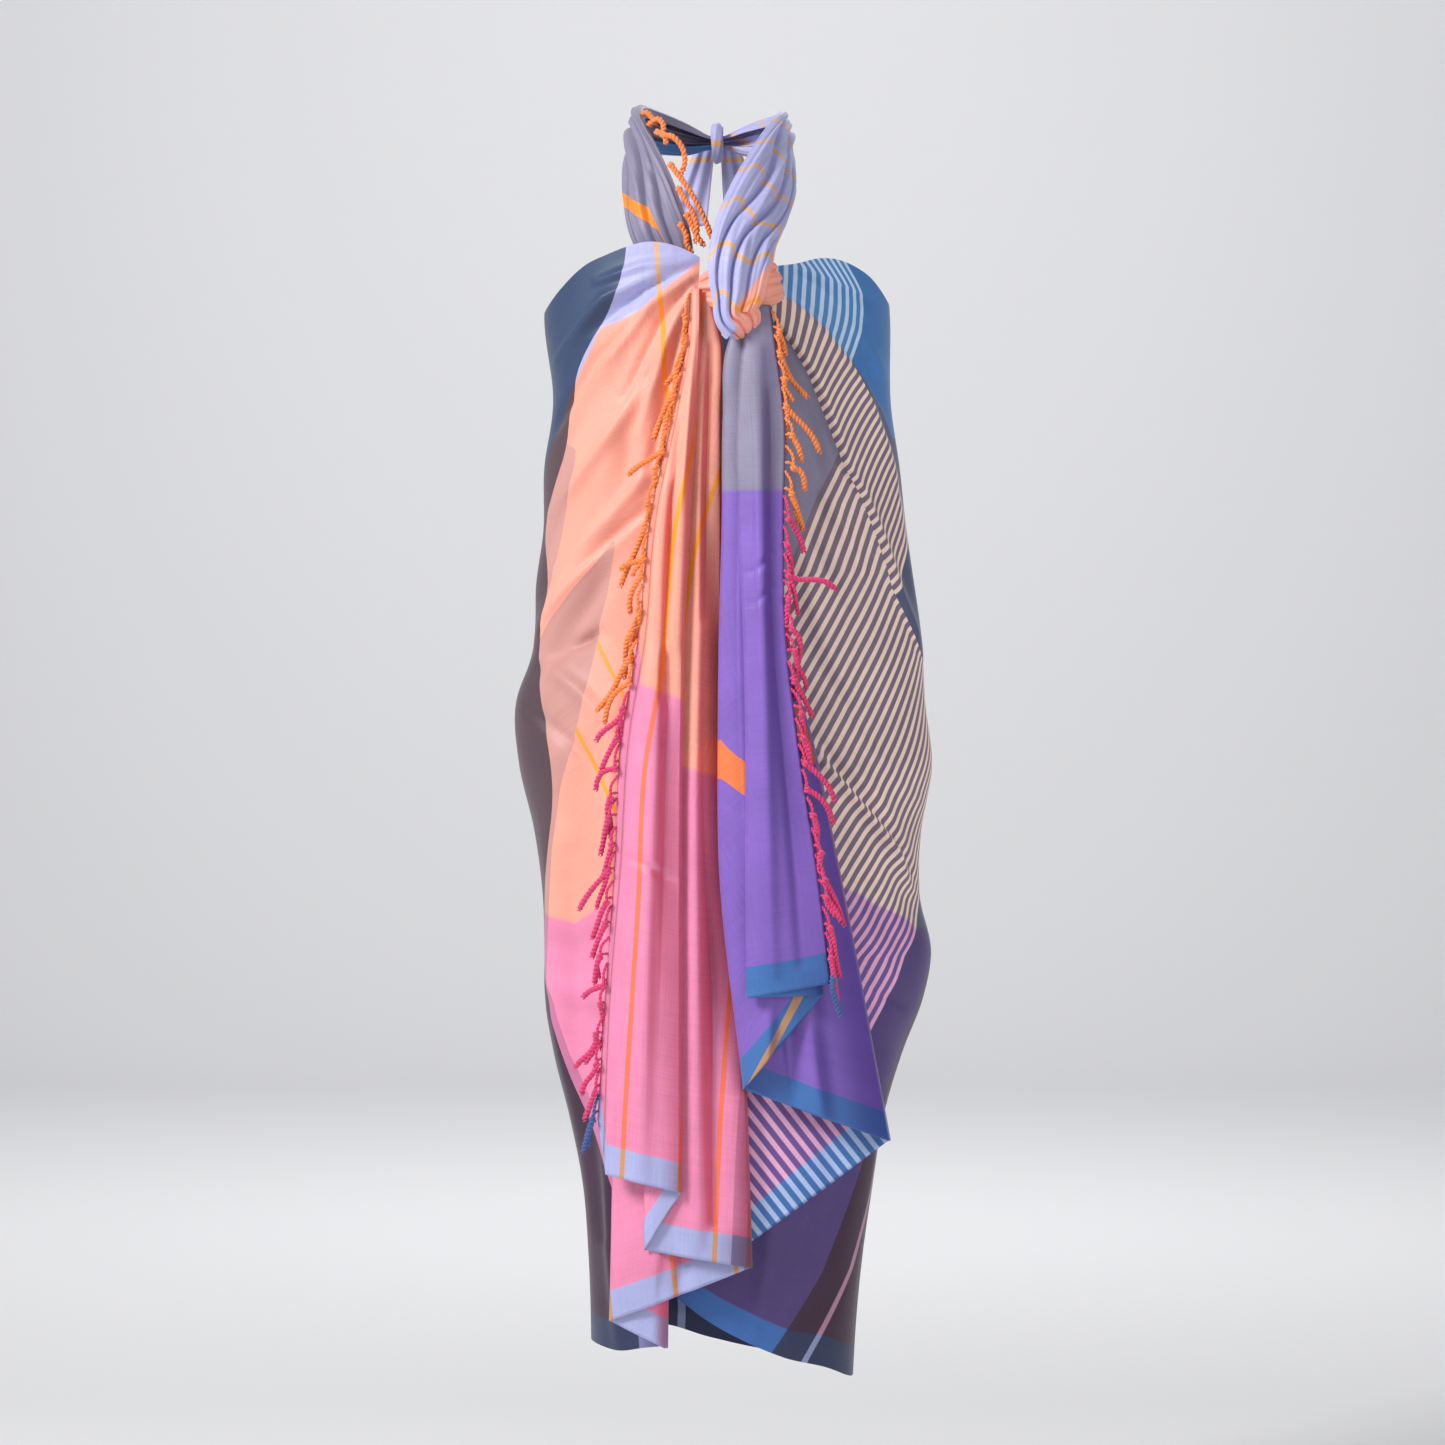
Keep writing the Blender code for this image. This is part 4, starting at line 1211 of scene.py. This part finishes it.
class Yarn:
    """Tubes of yarn that are gathered into one mesh, each with one of its materials."""

    def __init__(self):
        self.vertices = []
        self.faces = []
        self.colours = []

    def tube(self, path, radii, sides, colour):
        """A closed tube along a path of points in millimetres."""
        path = np.asarray(path, float)
        first, second = directions_across(path)
        angles = np.linspace(0, 2 * math.pi, sides, endpoint=False)
        radii = np.asarray(radii, float)[:, None, None]
        rings = path[:, None] + radii * (
            np.cos(angles)[None, :, None] * first[:, None] + np.sin(angles)[None, :, None] * second[:, None]
        )
        base = len(self.vertices)
        self.vertices.extend((rings.reshape(-1, 3) * MM).tolist())
        for i in range(len(path) - 1):
            for j in range(sides):
                k = (j + 1) % sides
                corners = (i * sides + j, i * sides + k, (i + 1) * sides + k, (i + 1) * sides + j)
                self.faces.append(tuple(base + corner for corner in corners))
                self.colours.append(colour)
        self.faces.append(tuple(base + j for j in reversed(range(sides))))
        self.faces.append(tuple(base + (len(path) - 1) * sides + j for j in range(sides)))
        self.colours += [colour, colour]

    def cord(self, points, radius, colour, phase=0.0, step=1.6):
        """Two plies twisted round each other along a smooth path, with a thinner, looser end."""
        points = np.asarray(points, float)
        length = np.linalg.norm(np.diff(points, axis=0), axis=1).sum()
        count = max(int(length / step), 6)
        keys = np.arange(len(points))
        at = np.linspace(0, len(points) - 1, count)
        path = np.stack([curve(keys, points[:, axis], at) for axis in range(3)], axis=-1)
        first, second = directions_across(path)
        share = np.linspace(0, 1, count)
        turn = phase + share * length / TWIST_LENGTH * 2 * math.pi
        loose = 1 + 0.5 * np.clip((share - 0.85) / 0.15, 0, 1)
        taper = 1 - 0.75 * np.clip((share - 0.88) / 0.12, 0, 1)
        radii = radius * taper * (1 + 0.06 * np.sin(7 * share + phase))
        for ply in (0, math.pi):
            offset = np.cos(turn + ply)[:, None] * first + np.sin(turn + ply)[:, None] * second
            self.tube(path + offset * radius * 0.86 * loose[:, None], radii, YARN_SIDES, colour)

    def knot(self, centre, radius, colour, tilt):
        """A small hard knot: two rings of yarn side by side."""
        angles = np.linspace(0, 2 * math.pi, 9)
        lean = np.array([math.cos(tilt), 0.0, math.sin(tilt)])
        side = np.array([-lean[2], 0, lean[0]])
        deep = np.array([0, 1, 0])
        for height in (-0.45, 0.45):
            middle = np.asarray(centre) + lean * height * radius
            ring = [middle + radius * 0.62 * (math.cos(a) * side + math.sin(a) * deep) for a in angles]
            self.tube(ring, [radius * 0.55] * 9, YARN_SIDES, colour)

    def piece(self, name, materials):
        mesh = bpy.data.meshes.new(name)
        mesh.from_pydata(self.vertices, [], self.faces)
        mesh.shade_smooth()
        for material in materials:
            mesh.materials.append(material)
        mesh.polygons.foreach_set("material_index", self.colours)
        return linked(name, mesh)


def body_front(x, drop):
    """The y of the front of the wrapped body at this place."""
    turn = body_turn(x, drop)
    return float(body_points(np.array([turn]), np.array([drop]))[0, 1])


def fringe(edge, side, colour_ends, draws):
    """Knotted tassels along the edge of a short end: pairs of threads run into each knot."""
    yarn = Yarn()
    steps = np.linalg.norm(np.diff(edge, axis=0), axis=1)
    run = np.concatenate([[0], np.cumsum(steps)])
    count = int(run[-1] // FRINGE_PITCH)

    def edge_at(place):
        return np.array([np.interp(place, run, edge[:, axis]) for axis in range(3)])

    for i in range(count):
        middle = (i + 0.5) * run[-1] / count + draws.uniform(-3, 3)
        root = edge_at(middle)
        drop = NAPE_DROP - root[2]
        colour = sum(drop > end for end in colour_ends)
        out = side * draws.uniform(3.0, 9.0)
        fall = draws.uniform(9, 17)
        knot = root + np.array([out, -2.5, -fall])
        for spread in (-0.34, 0.3):
            start = edge_at(np.clip(middle + spread * FRINGE_PITCH, 0, run[-1]))
            bend = (start + knot) / 2 + np.array([side * draws.uniform(0.5, 3.0), -1.5, 1.5])
            yarn.cord([start, bend, knot], THREAD_RADIUS, colour, draws.uniform(0, 6))
        yarn.knot(knot, KNOT_RADIUS, colour, draws.uniform(0.5, 1.6) * side)
        length = draws.uniform(24, 52) * (1.3 if i % 5 == 3 else 1.0)
        lean = draws.uniform(0.0, 0.75)
        if i % 4 == 1:
            lean += 0.55
        leans = [lean, lean * 0.3 + 0.1] if i % 3 == 0 else [lean]
        for number, lean in enumerate(leans):
            curl = draws.uniform(-0.9, 0.5)
            points = [knot]
            for step in range(1, 9):
                share = step / 8
                bent = lean + curl * math.sin(3.4 * share + i)
                angle = max(bent, -0.2) * (1 - 0.5 * share) * side
                last = points[-1]
                x = last[0] + math.sin(angle) * length / 8
                z = last[2] - math.cos(angle) * length / 8
                rest = body_front(x, NAPE_DROP - z) - 4.5
                y = last[1] + min(rest - last[1], length / 8 * TASSEL_SETTLE) + math.sin(4 * share + i) * 0.6
                points.append(np.array([x, y, z]))
            length = length * 0.8
            yarn.cord(points, TASSEL_RADIUS - 0.2 * number, colour, draws.uniform(0, 6))
    return yarn


silk = silk_material("shot_silk", flat_place)

body = wrapped_cloth(silk_material("shot_silk_in_layers", layered_place))
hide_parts("wrap_back", "front_left", "front_right")
left_grid = left_fall()
right_grid = right_fall()
left_silk = silk_material("shot_silk_left_with_painted_shade", flat_place, LEFT_SHOT_HUE_AND_PAINTED_SHADE)
fall_l = grid_cloth("left_fall", left_grid, left_silk)
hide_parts("fall_left")
right_silk = silk_material("shot_silk_right_with_painted_shade", flat_place, RIGHT_SHOT_HUE_AND_PAINTED_SHADE)
fall_r = grid_cloth("right_fall", right_grid, right_silk)
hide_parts("fall_right")
strap_l = grid_cloth(
    "left_strap", strap_cloth(STRAP_LEFT, 150, 150, LEFT_VALLEYS, left_strap_run, left_strap_down), silk
)
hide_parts("strap_left")
strap_r = grid_cloth(
    "right_strap",
    strap_cloth(STRAP_RIGHT_SHOWN, 150, 170, RIGHT_VALLEYS, right_strap_run, right_strap_down),
    silk_material("shot_silk_with_threads", threaded_place),
)
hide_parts("strap_right")
crossing = grid_cloth("chest_knot", strap_cloth(KNOT_SHOWN, 100, 50, KNOT_VALLEYS, knot_run, knot_down), silk)
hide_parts("knot")
for piece in (body, fall_l, fall_r, strap_l, strap_r, crossing):
    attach(piece, "root")
tie = grid_cloth("nape_roll", tie_grid(), silk)
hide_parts("nape_tie")
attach(tie, "root")
for tail_name, *sizes in TAILS:
    tail = grid_cloth(tail_name.replace("tie_tail", "tail"), tail_grid(*sizes), silk)
    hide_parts(tail_name)
    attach(tail, "root")

yarns = [yarn_material(name, colour) for name, colour in FRINGE_COLOURS]
draws = random.Random(7)
left_tassels = fringe(left_grid[:, 0, :3], -1, LEFT_FRINGE_ENDS, draws).piece("left_tassels", yarns)
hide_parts("fringe_left")
right_tassels = fringe(right_grid[:, 0, :3], 1, RIGHT_FRINGE_ENDS, draws).piece("right_tassels", yarns)
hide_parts("fringe_right")
cords = Yarn()
for number, points in enumerate(STRAP_CORDS):
    path = [(x, y, NAPE_DROP - drop) for x, y, drop in points]
    cords.cord(path, TASSEL_RADIUS, 0, number)
    cords.knot(path[0], KNOT_RADIUS, 0, 1.0)
strap_cords = cords.piece("strap_tassels", yarns)
for piece in (left_tassels, right_tassels, strap_cords):
    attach(piece, "root")

bpy.context.scene.view_settings.view_transform = "Standard"

camera_data = bpy.data.cameras.new("camera")
camera = linked("camera", camera_data)
CAMERA_DISTANCE = 4.2
VIEW_SIZE = 1.445
VIEW_PLANE_Y = -0.17
SENSOR_WIDTH = 36.0
camera.location = (0.0055, VIEW_PLANE_Y - CAMERA_DISTANCE, -0.6045)
camera.rotation_euler = (math.radians(90), 0, 0)
camera_data.sensor_fit = "HORIZONTAL"
camera_data.sensor_width = SENSOR_WIDTH
camera_data.lens = SENSOR_WIDTH * CAMERA_DISTANCE / VIEW_SIZE
camera_data.clip_end = 60
bpy.context.scene.camera = camera


def area_light(name, location, target, size, power, colour=(1, 1, 1)):
    """A soft square light that faces a point."""
    data = bpy.data.lights.new(name, "AREA")
    data.shape = "SQUARE"
    data.size = size
    data.energy = power
    data.color = colour
    light = linked(name, data)
    light.location = location
    light.rotation_euler = (Vector(target) - Vector(location)).to_track_quat("-Z", "Y").to_euler()


area_light("key", (-2.7, -2.1, 1.6), (0, 0, -0.6), 1.2, 152)
area_light("fill", (2.8, -2.4, 0.2), (0, 0, -0.7), 2.0, 34)
area_light("rim", (0.6, 2.6, 1.8), (0, 0, -0.5), 2.0, 30)
area_light("wall", (0, 2.8, 2.4), (0, 8.0, 0.2), 3.0, 105)
world = bpy.data.worlds.new("studio")
bpy.context.scene.world = world
world.use_nodes = True
world.node_tree.nodes["Background"].inputs[0].default_value = (0.9, 0.91, 0.93, 1)
world.node_tree.nodes["Background"].inputs[1].default_value = 0.31

FLOOR_Z = -1.5
STUDIO_HALF_WIDTH = 9.0
WALL_Y = 7.5
WALL_BEND = 1.5
WALL_TOP = 4.5
mesh = bpy.data.meshes.new("floor")
profile = [(-9.0, FLOOR_Z)]
for step in range(13):
    angle = QUARTER * step / 12
    y = WALL_Y - WALL_BEND + WALL_BEND * math.sin(angle)
    profile.append((y, FLOOR_Z + WALL_BEND * (1 - math.cos(angle))))
profile.append((WALL_Y, WALL_TOP))
vertices = []
for y, z in profile:
    vertices.extend([(-STUDIO_HALF_WIDTH, y, z), (STUDIO_HALF_WIDTH, y, z)])
faces = [(2 * row, 2 * row + 1, 2 * row + 3, 2 * row + 2) for row in range(len(profile) - 1)]
mesh.from_pydata(vertices, [], faces)
mesh.shade_smooth()
floor = linked("floor", mesh)
ground_graph = Graph("studio_paper")
ground_graph.shader.inputs["Base Color"].default_value = linear((238, 238, 240))
ground_graph.shader.inputs["Roughness"].default_value = 0.9
mesh.materials.append(ground_graph.material)
